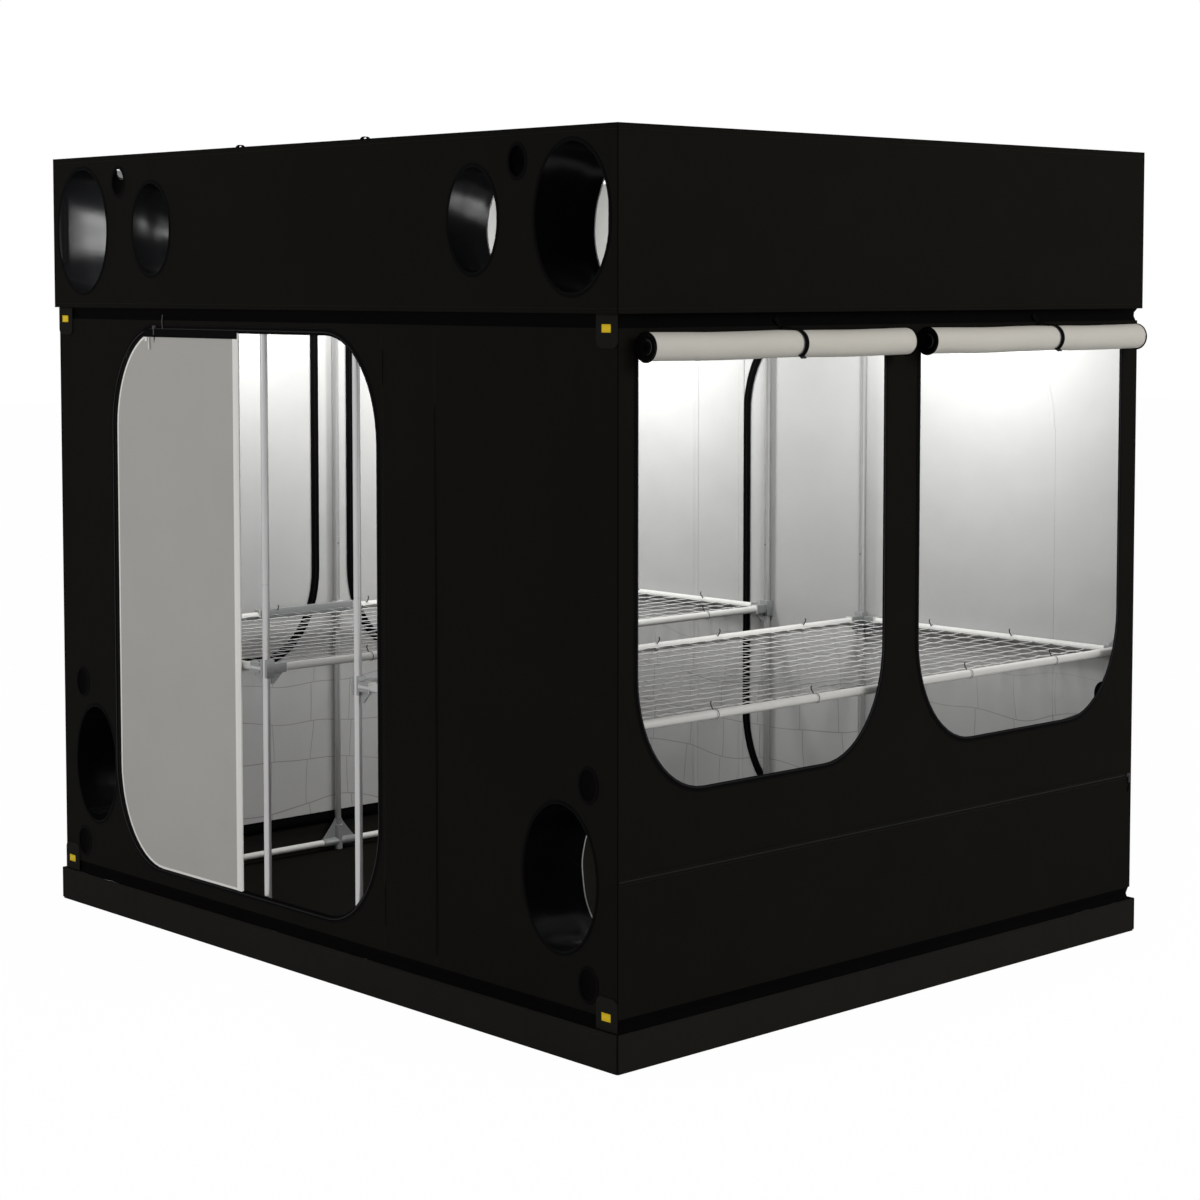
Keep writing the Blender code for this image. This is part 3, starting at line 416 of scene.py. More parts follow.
# Patterns of the looks. A noise has a scale, a detail and a distortion, and a bump a strength and a depth
TONE_DRIFT = {"Scale": 5.5, "Detail": 5, "Roughness": 0.6}
CLOTH_WRINKLES = (4.2, 3, 0.9)
CLOTH_WRINKLE_DEPTH = 0.012
SATIN_PITCH = 0.0009
SATIN_BUMP = (0.08, 0.0004)
SATIN_WRINKLES = (3.1, 3, 0.6)
SATIN_WRINKLE_BUMP = (0.3, 0.014)
# Painted crease shade on the lining: a wandering grid of dark lines, faded out upward.
CREASE_WANDER = {"Scale": 2.2, "Detail": 1}
CREASE_BEND_SHARE = 0.16
CREASE_GRID = {"Brick Width": 0.168, "Row Height": 0.128, "Mortar Size": 0.0015,
               "Mortar Smooth": 0.3, "Scale": 1.0}
CREASE_ROW_SHARE = 0.07
CREASE_SHADE_FADE = {"From Min": 0.52, "From Max": 0.80, "To Min": 1.0, "To Max": 0.0}
PEEL_NOISE = (420.0, 2)
PEEL_BUMP = (0.12, 0.0004)
GLOSS_NOISE = (9.0, 4)
GLOSS_RANGE = (-0.06, 0.08)

# Looks: a dark tone, a light tone and what differs from the plain look
CLOTH_LOOKS = {
    "oxford_black": ((0.0044, 0.0042, 0.0034), (0.0062, 0.0059, 0.0048), {}),
    "skirt_black": ((0.0098, 0.0094, 0.0082), (0.0126, 0.0120, 0.0106), {"wrinkle": 0.5}),
    "band_black": ((0.0016, 0.0016, 0.0016), (0.0024, 0.0024, 0.0023), {"specular": 0.006, "wrinkle": 0.5}),
    "tab_black": ((0.0092, 0.0090, 0.0082), (0.0118, 0.0115, 0.0106), {"pitch": 0.0016, "weave": 0.3}),
    "sleeve_black": ((0.0020, 0.0021, 0.0023), (0.0034, 0.0036, 0.0039),
                     {"roughness": 0.24, "specular": 0.07, "weave": 0.03, "wrinkle": 0.04}),
    "webbing_black": ((0.0016, 0.0016, 0.0017), (0.0024, 0.0024, 0.0026), {"pitch": 0.0014, "weave": 0.4}),
    "patch_yellow": ((0.96, 0.62, 0.004), (1.0, 0.74, 0.010),
                     {"roughness": 0.55, "specular": 0.3, "pitch": 0.0013, "weave": 0.8}),
    "thread_black": ((0.007, 0.007, 0.0065), (0.012, 0.012, 0.011), {"roughness": 0.5, "specular": 0.1}),
    "cord_white": ((0.84, 0.84, 0.83), (0.92, 0.92, 0.91),
                   {"roughness": 0.6, "specular": 0.3, "pitch": 0.0008, "weave": 0.5}),
    "net_grey": ((0.40, 0.40, 0.395), (0.54, 0.54, 0.53),
                 {"roughness": 0.6, "specular": 0.3, "pitch": 0.0008, "weave": 0.5}),
}
# Linings: dark tone, light tone, roughness, specular and painted crease shade
LINING_LOOKS = {
    "lining": ((0.320, 0.320, 0.318), (0.365, 0.365, 0.362), 0.46, 0.4, 0.42),
    # Painted shade: the hood's copy of the white lining, toned dark.
    "hood_lining_painted_shade": ((0.092, 0.092, 0.091), (0.116, 0.116, 0.114), 0.5, 0.3, 0),
    # Painted light: the flap's and the rolls' copies of the lining, toned lighter and warmer where the light
    # falls.
    "flap_lining": ((0.376, 0.368, 0.348), (0.412, 0.404, 0.384), 0.55, 0.25, 0),
    "roll_lining_painted_light": ((0.450, 0.438, 0.400), (0.490, 0.476, 0.438), 0.55, 0.25, 0),
    # Painted highlight: the hem's copy of the lining, along the fold's edges.
    "hem_lining": ((0.74, 0.73, 0.71), (0.82, 0.81, 0.79), 0.5, 0.3, 0),
}
# Metals and coils: dark tone, light tone, roughness, specular and metallic
METAL_LOOKS = {
    "tube_white": ((0.43, 0.43, 0.42), (0.50, 0.50, 0.49), 0.34, 0.5, 0),
    "post_grey": ((0.42, 0.42, 0.42), (0.50, 0.50, 0.50), 0.30, 0.5, 0.75),
    "bracket_grey": ((0.19, 0.20, 0.20), (0.26, 0.27, 0.27), 0.42, 0.5, 0.35),
    "steel_black": ((0.012, 0.012, 0.013), (0.022, 0.022, 0.024), 0.4, 0.5, 0.6),
    "coil_black": ((0.0016, 0.0016, 0.0017), (0.0026, 0.0026, 0.0028), 0.5, 0.12, 0),
}
WALL_CLOTH = ("oxford_black", "lining", "webbing_black")
# The hood's lining side is the white lining toned dark: painted shade.
HOOD_CLOTH = ("oxford_black", "hood_lining_painted_shade", "webbing_black")
# The flap's lining side and its rim are painted light: the lining toned lighter, and a painted highlight
# along the rim.
FLAP_CLOTH = ("flap_lining", "oxford_black", "hem_lining")
TAPE_LOOKS = ("webbing_black", "coil_black", "thread_black")
UP = Vector((0, 0, 1))

looks = {}


def add_node(tree, kind, inputs=None, **settings):
    """A shader node with its settings and plain input values."""
    node = tree.nodes.new("ShaderNode" + kind)
    for name, value in settings.items():
        setattr(node, name, value)
    for name, value in (inputs or {}).items():
        node.inputs[name].default_value = value
    return node


def join(tree, start, output, end, name):
    tree.links.new(start.outputs[output], end.inputs[name])


def start_look(name, tones, roughness, specular, metallic=0):
    """A material whose colour drifts between two tones over the surface."""
    made = bpy.data.materials.new(name)
    made.use_nodes = True
    made.diffuse_color = (*tones[1], 1)
    looks[name] = made
    tree = made.node_tree
    shader = tree.nodes["Principled BSDF"]
    settings = {"Roughness": roughness, "Specular IOR Level": specular, "Metallic": metallic}
    for key, value in settings.items():
        shader.inputs[key].default_value = value
    coords = add_node(tree, "TexCoord")
    drift = add_node(tree, "TexNoise", TONE_DRIFT)
    join(tree, coords, "Object", drift, "Vector")
    tone = add_node(tree, "Mix", data_type="RGBA")
    tone.inputs[6].default_value = (*tones[0], 1)
    tone.inputs[7].default_value = (*tones[1], 1)
    join(tree, drift, "Fac", tone, "Factor")
    join(tree, tone, 2, shader, "Base Color")
    return tree, shader, coords, tone


def add_bump(tree, shader, height, strength, distance):
    """Add a bump on top of whatever already shapes the shader's normal."""
    bump = add_node(tree, "Bump", {"Strength": strength, "Distance": distance})
    tree.links.new(height, bump.inputs["Height"])
    links = shader.inputs["Normal"].links
    if links:
        tree.links.new(links[0].from_socket, bump.inputs["Normal"])
    join(tree, bump, "Normal", shader, "Normal")


def weave_height(tree, coords, pitch):
    """Threads that cross at right angles on a surface that faces any axis."""
    total = None
    for axis in "XYZ":
        wave = add_node(tree, "TexWave", {"Scale": math.pi / (10 * pitch)}, bands_direction=axis)
        join(tree, coords, "Object", wave, "Vector")
        if total is None:
            total = wave.outputs["Fac"]
        else:
            both = add_node(tree, "Math", operation="ADD")
            tree.links.new(total, both.inputs[0])
            join(tree, wave, "Fac", both, 1)
            total = both.outputs[0]
    return total


def noise_height(tree, coords, scale, detail, distortion=0):
    made = add_node(tree, "TexNoise", {"Scale": scale, "Detail": detail, "Distortion": distortion})
    join(tree, coords, "Object", made, "Vector")
    return made.outputs["Fac"]


def cloth_look(name, tones, roughness=0.7, specular=0.014, pitch=0.0011, weave=0.2, wrinkle=0.25):
    """Woven cloth with soft wrinkles."""
    tree, shader, coords, _ = start_look(name, tones, roughness, specular)
    shader.inputs["IOR"].default_value = 1.5
    add_bump(tree, shader, weave_height(tree, coords, pitch), weave, pitch / 2)
    add_bump(tree, shader, noise_height(tree, coords, *CLOTH_WRINKLES), wrinkle, CLOTH_WRINKLE_DEPTH)


def lining_look(name, tones, roughness, specular, crease_shade):
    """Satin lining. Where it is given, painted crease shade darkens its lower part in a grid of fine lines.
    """
    tree, shader, coords, tone = start_look(name, tones, roughness, specular)
    add_bump(tree, shader, weave_height(tree, coords, SATIN_PITCH), *SATIN_BUMP)
    add_bump(tree, shader, noise_height(tree, coords, *SATIN_WRINKLES), *SATIN_WRINKLE_BUMP)
    if crease_shade:
        # Painted crease shade: the tone is multiplied darker along the crease grid.
        crease_shade_mix = add_node(tree, "Mix", data_type="RGBA", blend_type="MULTIPLY")
        crease_shade_mix.inputs[7].default_value = (1 - crease_shade, 1 - crease_shade, 1 - crease_shade, 1)
        tree.links.new(painted_crease_shade(tree, coords), crease_shade_mix.inputs["Factor"])
        tree.links.new(tone.outputs[2], crease_shade_mix.inputs[6])
        join(tree, crease_shade_mix, 2, shader, "Base Color")


def painted_crease_shade(tree, coords):
    """A mask of painted crease shade: an uneven grid of lines over the walls that fades out upward."""
    split = add_node(tree, "SeparateXYZ")
    join(tree, coords, "Object", split, "Vector")
    along = add_node(tree, "Math", operation="ADD")
    join(tree, split, "X", along, 0)
    join(tree, split, "Y", along, 1)
    flat = add_node(tree, "CombineXYZ")
    join(tree, along, 0, flat, "X")
    join(tree, split, "Z", flat, "Y")
    wander = add_node(tree, "TexNoise", CREASE_WANDER)
    join(tree, coords, "Object", wander, "Vector")
    bend = add_node(tree, "MixRGB", {"Fac": CREASE_BEND_SHARE}, blend_type="ADD")
    join(tree, flat, "Vector", bend, "Color1")
    join(tree, wander, "Color", bend, "Color2")
    bricks = add_node(tree, "TexBrick", CREASE_GRID, offset=CREASE_ROW_SHARE)
    join(tree, bend, "Color", bricks, "Vector")
    fade = add_node(tree, "MapRange", CREASE_SHADE_FADE)
    join(tree, split, "Z", fade, "Value")
    both = add_node(tree, "Math", operation="MULTIPLY")
    join(tree, bricks, "Fac", both, 0)
    join(tree, fade, "Result", both, 1)
    return both.outputs[0]


def metal_look(name, tones, roughness, specular, metallic):
    """Painted or bare metal with a slight orange peel and uneven gloss."""
    tree, shader, coords, _ = start_look(name, tones, roughness, specular, metallic)
    add_bump(tree, shader, noise_height(tree, coords, *PEEL_NOISE), *PEEL_BUMP)
    low, high = (roughness + shift for shift in GLOSS_RANGE)
    span = add_node(tree, "MapRange", {"To Min": low, "To Max": high})
    tree.links.new(noise_height(tree, coords, *GLOSS_NOISE), span.inputs["Value"])
    join(tree, span, "Result", shader, "Roughness")


def make_looks():
    """Every look, under its name."""
    for name, (dark, light, settings) in CLOTH_LOOKS.items():
        cloth_look(name, (dark, light), **settings)
    for name, (dark, light, *settings) in LINING_LOOKS.items():
        lining_look(name, (dark, light), *settings)
    for name, (dark, light, *settings) in METAL_LOOKS.items():
        metal_look(name, (dark, light), *settings)


def facing_y(across, up, out):
    return Vector((across, out, up))


def facing_x(across, up, out):
    return Vector((out, across, up))


def lying(across, along, up):
    return Vector((across, along, up))


def front_or_back(side, inset=0):
    """The front (-1) or back (+1) wall: how places on it are turned, how far out it is and where it faces."""
    return facing_y, side * (FACE_Y - inset), Vector((0, side, 0))


def left_or_right(side, inset=0):
    return facing_x, side * (FACE_X - inset), Vector((side, 0, 0))


def turns(steps, start=0.0, sweep=2 * math.pi, last=False):
    """Angles that step round, with or without the last one."""
    return [start + sweep * step / steps for step in range(steps + 1 if last else steps)]


def add_piece(name, shape, look, nodes=(), body="tent", smooth=True, crease_angle=38):
    """Turn a bmesh into a piece of the tent that rides on a body, or on none."""
    bmesh.ops.recalc_face_normals(shape, faces=shape.faces)
    mesh = bpy.data.meshes.new(name)
    shape.to_mesh(mesh)
    shape.free()
    if smooth:
        mesh.shade_smooth()
        mesh.set_sharp_from_angle(angle=math.radians(crease_angle))
    piece = bpy.data.objects.new(name, mesh)
    bpy.context.scene.collection.objects.link(piece)
    for one in ([look] if isinstance(look, str) else look):
        mesh.materials.append(looks[one])
    if body:
        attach(piece, body)
    if nodes:
        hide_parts(*nodes)
    return piece


def oval(centre, size, steps=48):
    return [(centre[0] + size[0] / 2 * math.cos(turn), centre[1] + size[1] / 2 * math.sin(turn))
            for turn in turns(steps)]


def rounded_outline(low, high, rounded, inset):
    """A rectangle, anticlockwise from its lower left, with elliptical arcs at its first corners."""
    left, bottom = low[0] + inset, low[1] + inset
    right, top = high[0] - inset, high[1] - inset
    reach = (CORNER_WIDTH - inset, CORNER_HEIGHT - inset)
    corners = ((left, bottom, 1, 1, 180), (right, bottom, -1, 1, 270),
               (right, top, -1, -1, 0), (left, top, 1, -1, 90))
    points = []
    for number, (across, up, to_across, to_up, start) in enumerate(corners):
        if number >= rounded:
            points.append((across, up))
            continue
        for turn in turns(CORNER_STEPS, math.radians(start), math.pi / 2, True):
            points.append((across + reach[0] * (to_across + math.cos(turn)),
                           up + reach[1] * (to_up + math.sin(turn))))
    return points


def door_outline(turned=False, inset=0):
    left, right = (-DOOR_RIGHT, -DOOR_LEFT) if turned else (DOOR_LEFT, DOOR_RIGHT)
    return rounded_outline((left, DOOR_BOTTOM), (right, DOOR_TOP), 4, inset)


def window_outline(span, inset=0):
    return rounded_outline((span[0], WINDOW_BOTTOM), (span[1], WINDOW_TOP), 2, inset)


def window_edge(span, inset=0):
    """A window's outline without its top: down, along and up again."""
    outline = window_outline(span, inset)
    return outline[-1:] + outline[:-1]


def rectangle(across, low, high):
    return [(-across, low), (across, low), (across, high), (-across, high)]


def resampled(points, step, closed=True):
    """The same line with no stretch longer than the step."""
    ends = points[1:] + points[:1] if closed else points[1:]
    made = []
    for start, end in zip(points, ends):
        start, end = Vector(start), Vector(end)
        parts = max(1, math.ceil((end - start).length / step - 1e-6))
        made.extend(start.lerp(end, part / parts) for part in range(parts))
    if not closed:
        made.append(Vector(points[-1]))
    return made


def moved(path, face, lift):
    return [point + face * lift for point in path]


def on_wall(place, points, out, step=None, closed=False):
    """A path on a wall from places across and up."""
    if step:
        points = resampled(points, step, closed)
    return [place(across, up, out) for across, up in points]


def inside(places, loop):
    """Which places lie inside a closed loop."""
    x, y = places[:, 0][:, None], places[:, 1][:, None]
    x0, y0 = loop[:, 0][None], loop[:, 1][None]
    x1, y1 = np.roll(x0, -1), np.roll(y0, -1)
    level = np.where(np.abs(y1 - y0) < TINY, TINY, y1 - y0)
    crossed = ((y0 > y) != (y1 > y)) & (x < (x1 - x0) * (y - y0) / level + x0)
    return crossed.sum(1) % 2 == 1


def in_cloth(places, loops):
    """Which places lie inside the first loop and outside the others."""
    keep = inside(places, loops[0])
    for hole in loops[1:]:
        keep &= ~inside(places, hole)
    return keep


def edge_distance(places, rim):
    return np.sqrt(((places[:, None] - rim[None]) ** 2).sum(2)).min(1)


def cloth_grid(outline, holes, step):
    """Points and triangles that fill an outline round its holes, with the distance to the nearest edge."""
    loops = [[tuple(point) for point in resampled(loop, step)] for loop in [outline, *holes]]
    edge_points = [point for loop in loops for point in loop]
    edges = []
    for loop in loops:
        first = len(edges)
        edges.extend((first + index, first + (index + 1) % len(loop)) for index in range(len(loop)))
    rim = np.array(edge_points)
    low, high = rim.min(0), rim.max(0)
    spots = []
    for row, up in enumerate(np.arange(low[1] + step / 2, high[1], step * ROW_SHARE)):
        start = low[0] + step / (2 if row % 2 else 1)
        spots.extend((across, up) for across in np.arange(start, high[0], step))
    spots = np.array(spots).reshape(-1, 2)
    loops = [np.array(loop) for loop in loops]
    spots = spots[in_cloth(spots, loops)]
    spots = spots[edge_distance(spots, rim) > step * CLEAR_SHARE]
    points = [Vector(point) for point in edge_points + spots.tolist()]
    places, _, faces, _, _, _ = delaunay_2d_cdt(points, edges, [], 0, MERGE_DISTANCE)
    flat = np.array([(place.x, place.y) for place in places])
    within = in_cloth(np.array([flat[list(face)].mean(0) for face in faces]), loops)
    faces = [face for face, kept in zip(faces, within) if kept]
    return flat, faces, edge_distance(flat, rim)


def ripple(across, up, seed):
    """Soft folds of hung cloth, from 0 to 1: long upright waves with a slower drift."""
    drift = noise.noise((across * DRIFT_SCALES[0], up * DRIFT_SCALES[1], seed))
    fine, slow, rising = WAVE_SCALES
    waves = math.sin(across * fine + drift * 4 + seed) / 2
    waves += math.sin(across * slow + up * rising + seed * 2) / 2
    return (1 + max(-1, min(1, waves * WAVE_SHARES[0] + drift * WAVE_SHARES[1]))) / 2


def cloth_shape(place, outline, holes, outer, inward, step, wave, seed, rise=0):
    """A cloth with thickness: the outer layer, the lining layer and the rim between them."""
    flat, faces, away = cloth_grid(outline, holes, step)
    shape = bmesh.new()
    layers = []
    for depth in (0, CLOTH):
        layer = []
        for (across, up), gap in zip(flat, away):
            fade = min(1, gap / EDGE_FADE)
            fade = fade * fade * (3 - 2 * fade)
            swing = wave * fade * ripple(across, up, seed) - rise * fade
            layer.append(shape.verts.new(place(across, up, outer + inward * (depth + swing))))
        layers.append(layer)
    borders = {}
    for face in faces:
        for start, end in zip(face, face[1:] + face[:1]):
            key = (min(start, end), max(start, end))
            borders[key] = None if key in borders else (start, end)
        for index, layer in enumerate(layers):
            corners = [layer[corner] for corner in face]
            made = shape.faces.new(corners[::-1] if index else corners)
            made.material_index = index
    for start, end in filter(None, borders.values()):
        made = shape.faces.new((layers[0][end], layers[0][start], layers[1][start], layers[1][end]))
        made.material_index = 2
    loose = [vert for vert in shape.verts if not vert.link_faces]
    bmesh.ops.delete(shape, geom=loose, context="VERTS")
    return shape


def polygon_area(points):
    total = 0
    for (x0, y0), (x1, y1) in zip(points, points[1:] + points[:1]):
        total += x0 * y1 - x1 * y0
    return abs(total) / 2


def cloth(name, node, place, outline, outer, inward, seed, holes=(), look=WALL_CLOTH,
          body="tent", step=GRID_STEP, wave=RIPPLE, rise=0):
    """A cloth panel in place of a node: stretched on the tent, or hung on a body that moves."""
    shape = cloth_shape(place, outline, holes, outer, inward, step, wave, seed, rise)
    piece = add_piece(name, shape, look, (node,), body)
    points = np.array(outline)
    size = points.max(0) - points.min(0)
    area = polygon_area(outline) - sum(polygon_area(hole) for hole in holes)
    area = min(area, size[0] * size[1])


def strip(shape, first, second, look=0):
    """Faces between two lines of points."""
    for corners in zip(first, first[1:], second[1:], second):
        shape.faces.new(corners).material_index = look


def skin(shape, rings, look=0, loop=False):
    """Faces between closed rings of points. A loop also joins the last ring to the first."""
    for first, second in zip(rings, rings[1:] + rings[:1] if loop else rings[1:]):
        strip(shape, first + first[:1], second + second[:1], look)


def solid(shape, rings, look=0, loop=False):
    """A skin that is closed at both ends, or joined end to end."""
    skin(shape, rings, look, loop)
    if not loop:
        for ring in (rings[0][::-1], rings[-1]):
            shape.faces.new(ring).material_index = look


def swept(shape, path, face, section, closed=False, look=0, widths=(1,)):
    """Carry a section along a path that lies on a wall with the given outward direction."""
    count = len(path)
    rings = []
    for index, point in enumerate(path):
        steps = []
        if closed or index < count - 1:
            steps.append((path[(index + 1) % count] - point).normalized())
        if closed or index:
            steps.append((point - path[index - 1]).normalized())
        along = sum(steps, Vector()).normalized()
        across = along.cross(face).normalized()
        mitre = 1 / max(MITRE_LEAST, abs(along.dot(steps[0])))
        grow = widths[index % len(widths)]
        rings.append([
            shape.verts.new(point + across * side * mitre * grow + face * out * min(1, grow))
            for side, out in section
        ])
    solid(shape, rings, look, closed)


def tape(shape, path, face, size, closed=False):
    """A flat tape with softened edges on a wall. Its size is a width, a rise and a base."""
    width, rise, base = size
    half, soft = width / 2, min(width, rise * 2) * TAPE_SOFT_SHARE
    low, high = base + rise * TAPE_SIDE_SHARE, base + rise
    section = [(-half, base), (-half, low), (soft - half, high),
               (half - soft, high), (half, low), (half, base)]
    swept(shape, path, face, section, closed)


def add_stitches(shape, path, face, offset=0, closed=False, look=0):
    """A row of raised thread stitches along a path, beside it by the offset."""
    points = resampled(path, STITCH_PITCH, closed)
    for start, end in zip(points, points[1:]):
        along = (end - start).normalized()
        across = along.cross(face).normalized()
        middle = start.lerp(end, 0.5) + across * offset
        reach, side = along * STITCH_LENGTH / 2, across * STITCH_WIDTH / 2
        top = middle + face * STITCH_WIDTH * STITCH_RISE_SHARE
        base = [middle - reach - side, middle - reach + side, middle + reach + side, middle + reach - side]
        low = [shape.verts.new(corner) for corner in base]
        ridge = [shape.verts.new(top + reach * share) for share in (-STITCH_TOP_SHARE, STITCH_TOP_SHARE)]
        faces = ((low[0], low[1], ridge[0]), (low[2], low[3], ridge[1]),
                 (low[1], low[2], ridge[1], ridge[0]), (low[3], low[0], ridge[0], ridge[1]),
                 (low[3], low[2], low[1], low[0]))
        for corners in faces:
            shape.faces.new(corners).material_index = look


def two_rows(shape, path, face, lift, reach, closed=False, look=0):
    """Stitches on both sides of a path, lifted off it."""
    for offset in (-reach, reach):
        add_stitches(shape, moved(path, face, lift), face, offset, closed, look)


def add_chain(shape, path, face, closed=False, look=0, lift=0):
    """A zip's teeth along a path."""
    half, top = CHAIN_WIDTH / 2, lift + CHAIN_RISE
    flat = half * CHAIN_TOP_SHARE
    section = [(-half, lift), (-flat, top), (flat, top), (half, lift)]
    swept(shape, resampled(path, TOOTH_PITCH / 2, closed), face, section, closed, look, (1, CHAIN_GAP_SHARE))


def tube(shape, path, radius, sides=10, look=0, closed=False):
    """A round tube along a free path, with one radius or with one for each point."""
    rings = []
    normal = None
    count = len(path)
    for index, point in enumerate(path):
        before = path[index - 1] if closed or index else point
        after = path[(index + 1) % count] if closed or index < count - 1 else point
        along = (after - before).normalized()
        if normal is None:
            normal = along.orthogonal().normalized()
        normal = (normal - along * normal.dot(along)).normalized()
        side = along.cross(normal)
        size = radius[index] if isinstance(radius, tuple) else radius
        rings.append([
            shape.verts.new(point + normal * size * math.cos(turn) + side * size * math.sin(turn))
            for turn in turns(sides)
        ])
    solid(shape, rings, look, closed)


def tube_run(shape, start, end, diameter):
    """A straight tube with softened ends."""
    start, end = Vector(start), Vector(end)
    along = (end - start).normalized()
    soft = diameter * TUBE_SOFT_SHARE
    radius = diameter / 2
    path = [start, start + along * soft, end - along * soft, end]
    tube(shape, path, (radius - soft, radius, radius, radius - soft), 24)


def ribbon(shape, path, across, size, look=0):
    """A flat strap along a free path, wide along one direction. Its size is a width and a thickness."""
    rings = []
    for index, point in enumerate(path):
        before, after = path[max(0, index - 1)], path[min(len(path) - 1, index + 1)]
        along = (after - before).normalized()
        side = (across - along * across.dot(along)).normalized()
        half, thick = side * size[0] / 2, side.cross(along).normalized() * size[1] / 2
        bulge = half * RIBBON_BULGE_SHARE
        corners = (-half - thick, half - thick, bulge, half + thick, -half + thick, -bulge)
        rings.append([shape.verts.new(point + corner) for corner in corners])
    solid(shape, rings, look)


def block(shape, centre, size, edge, look=0, turn=None):
    """A box with bevelled edges."""
    before = set(shape.verts)
    made = bmesh.ops.create_cube(shape, size=1)
    bmesh.ops.scale(shape, vec=size, verts=made["verts"])
    edges = list({one for vert in made["verts"] for one in vert.link_edges})
    bmesh.ops.bevel(shape, geom=edges, offset=edge, segments=2, affect="EDGES", profile=BEVEL_SHARE)
    verts = [vert for vert in shape.verts if vert not in before]
    matrix = Matrix.Translation(centre) @ (turn.to_4x4() if turn else Matrix.Identity(4))
    bmesh.ops.transform(shape, matrix=matrix, verts=verts)
    for one in {face for vert in verts for face in vert.link_faces}:
        one.material_index = look


def build_walls():
    """The four wall cloths."""
    outline = rectangle(FACE_X, WALL_BOTTOM, WALL_TOP)
    for name, side in (("front_wall", -1), ("back_wall", 1)):
        holes = [door_outline(side > 0)]
        holes += [oval((-side * across, WALL_PORT_Z), size) for across, size in WALL_PORTS]
        holes += [oval(spot, CABLE_PORT, 24) for spot in CABLE_PORTS]
        cloth(name + "_cloth", name, facing_y, outline, side * FACE_Y, -side, side + 3, holes)
    outline = rectangle(FACE_Y - CLOTH, WALL_BOTTOM, WALL_TOP)
    holes = [window_outline(span) for _, span in WINDOW_SPANS]
    for name, side in (("left_wall", -1), ("right_wall", 1)):
        cloth(name + "_cloth", name, facing_x, outline, side * FACE_X, -side, side + 7, holes)


def build_hood():
    """The hood's four cloths and its roof, which sags a little between the bars."""
    ports = [oval((across, HOOD_PORT_Z), size) for across, size in HOOD_PORTS]
    ports += [oval(spot, CABLE_PORT, 24) for spot in HOOD_CABLE_PORTS]
    outline = rectangle(HALF_WIDTH, HOOD_BOTTOM, HEIGHT - CLOTH)
    # Their lining side is painted shade: the white lining toned dark.
    for name, side, holes in (("hood_front", -1, ports), ("hood_back", 1, ())):
        cloth(name + "_cloth", name, facing_y, outline, side * HALF_DEPTH, -side, side + 11, holes,
              HOOD_CLOTH)
    outline = rectangle(HALF_DEPTH - CLOTH, HOOD_BOTTOM, HEIGHT - CLOTH)
    for name, side in (("hood_left", -1), ("hood_right", 1)):
        cloth(name + "_cloth", name, facing_x, outline, side * HALF_WIDTH, -side, side + 15, look=HOOD_CLOTH)
    outline = rectangle(HALF_WIDTH, -HALF_DEPTH, HALF_DEPTH)
    cloth("hood_roof_cloth", "hood_roof", lying, outline, HEIGHT, -1, 19, wave=ROOF_WAVE)


def ring_path(inset, corner=RING_CORNER):
    """A level path round the tent with small round corners."""
    across, along = HALF_WIDTH - inset - corner, HALF_DEPTH - inset - corner
    points = []
    for side_x, side_y, start in ((1, -1, 270), (1, 1, 0), (-1, 1, 90), (-1, -1, 180)):
        points += [(side_x * across + corner * math.cos(turn), side_y * along + corner * math.sin(turn))
                   for turn in turns(4, math.radians(start), math.pi / 2, True)]
    return points


def level_path(inset, height, corner=RING_CORNER):
    return [Vector((x, y, height)) for x, y in ring_path(inset, corner)]


def belt(name, nodes, look, levels, wave, seed):
    """A cloth belt round the tent: each level gives an inset and a height."""
    shape = bmesh.new()
    rings = []
    bottom, top = levels[0][1], levels[-1][1]
    for extra, order in ((0, 1), (CLOTH, -1)):
        for inset, height in levels[::order]:
            shrink_x, shrink_y = ((half - inset - extra) / half for half in (HALF_WIDTH, HALF_DEPTH))
            fade = 1 - abs(2 * (height - bottom) / (top - bottom) - 1) ** 3
            ring = []
            for x, y in resampled(ring_path(0), GRID_STEP):
                pull = wave * ripple(x * 2 + y * 3, height * 4, seed) * fade
                ring.append(shape.verts.new((x * (shrink_x - pull), y * (shrink_y - pull), height)))
            rings.append(ring)
    skin(shape, rings, loop=True)
    piece = add_piece(name, shape, look, nodes)


def spaced(start, end, parts):
    """Evenly spaced levels between two pairs of inset and height."""
    return [tuple(first + (second - first) * step / parts for first, second in zip(start, end))
            for step in range(parts + 1)]


def build_tray_and_bands():
    """The floor with its upright walls, and the set-back bands above the tray and below the hood."""
    belt("tray_walls", (), "skirt_black", spaced(*TRAY_LEVELS, 6), TRAY_WAVE, 21)
    cloth("tray_floor", "floor_tray", lying, ring_path(FLOOR_INSET), FLOOR_TOP, -1, 23,
          look=("oxford_black",) * 3, wave=0, rise=FLOOR_SAG)
    low = spaced(*LOW_BAND_LEVELS[0], 2) + spaced(*LOW_BAND_LEVELS[1], 3)
    belt("lower_band_cloth", ("lower_band",), "band_black", low, BAND_WAVE, 25)
    high = spaced(*HIGH_BAND_LEVELS[0], 3) + spaced(*HIGH_BAND_LEVELS[1], 2)
    belt("upper_band_cloth", ("upper_band",), "band_black", high, BAND_WAVE, 27)


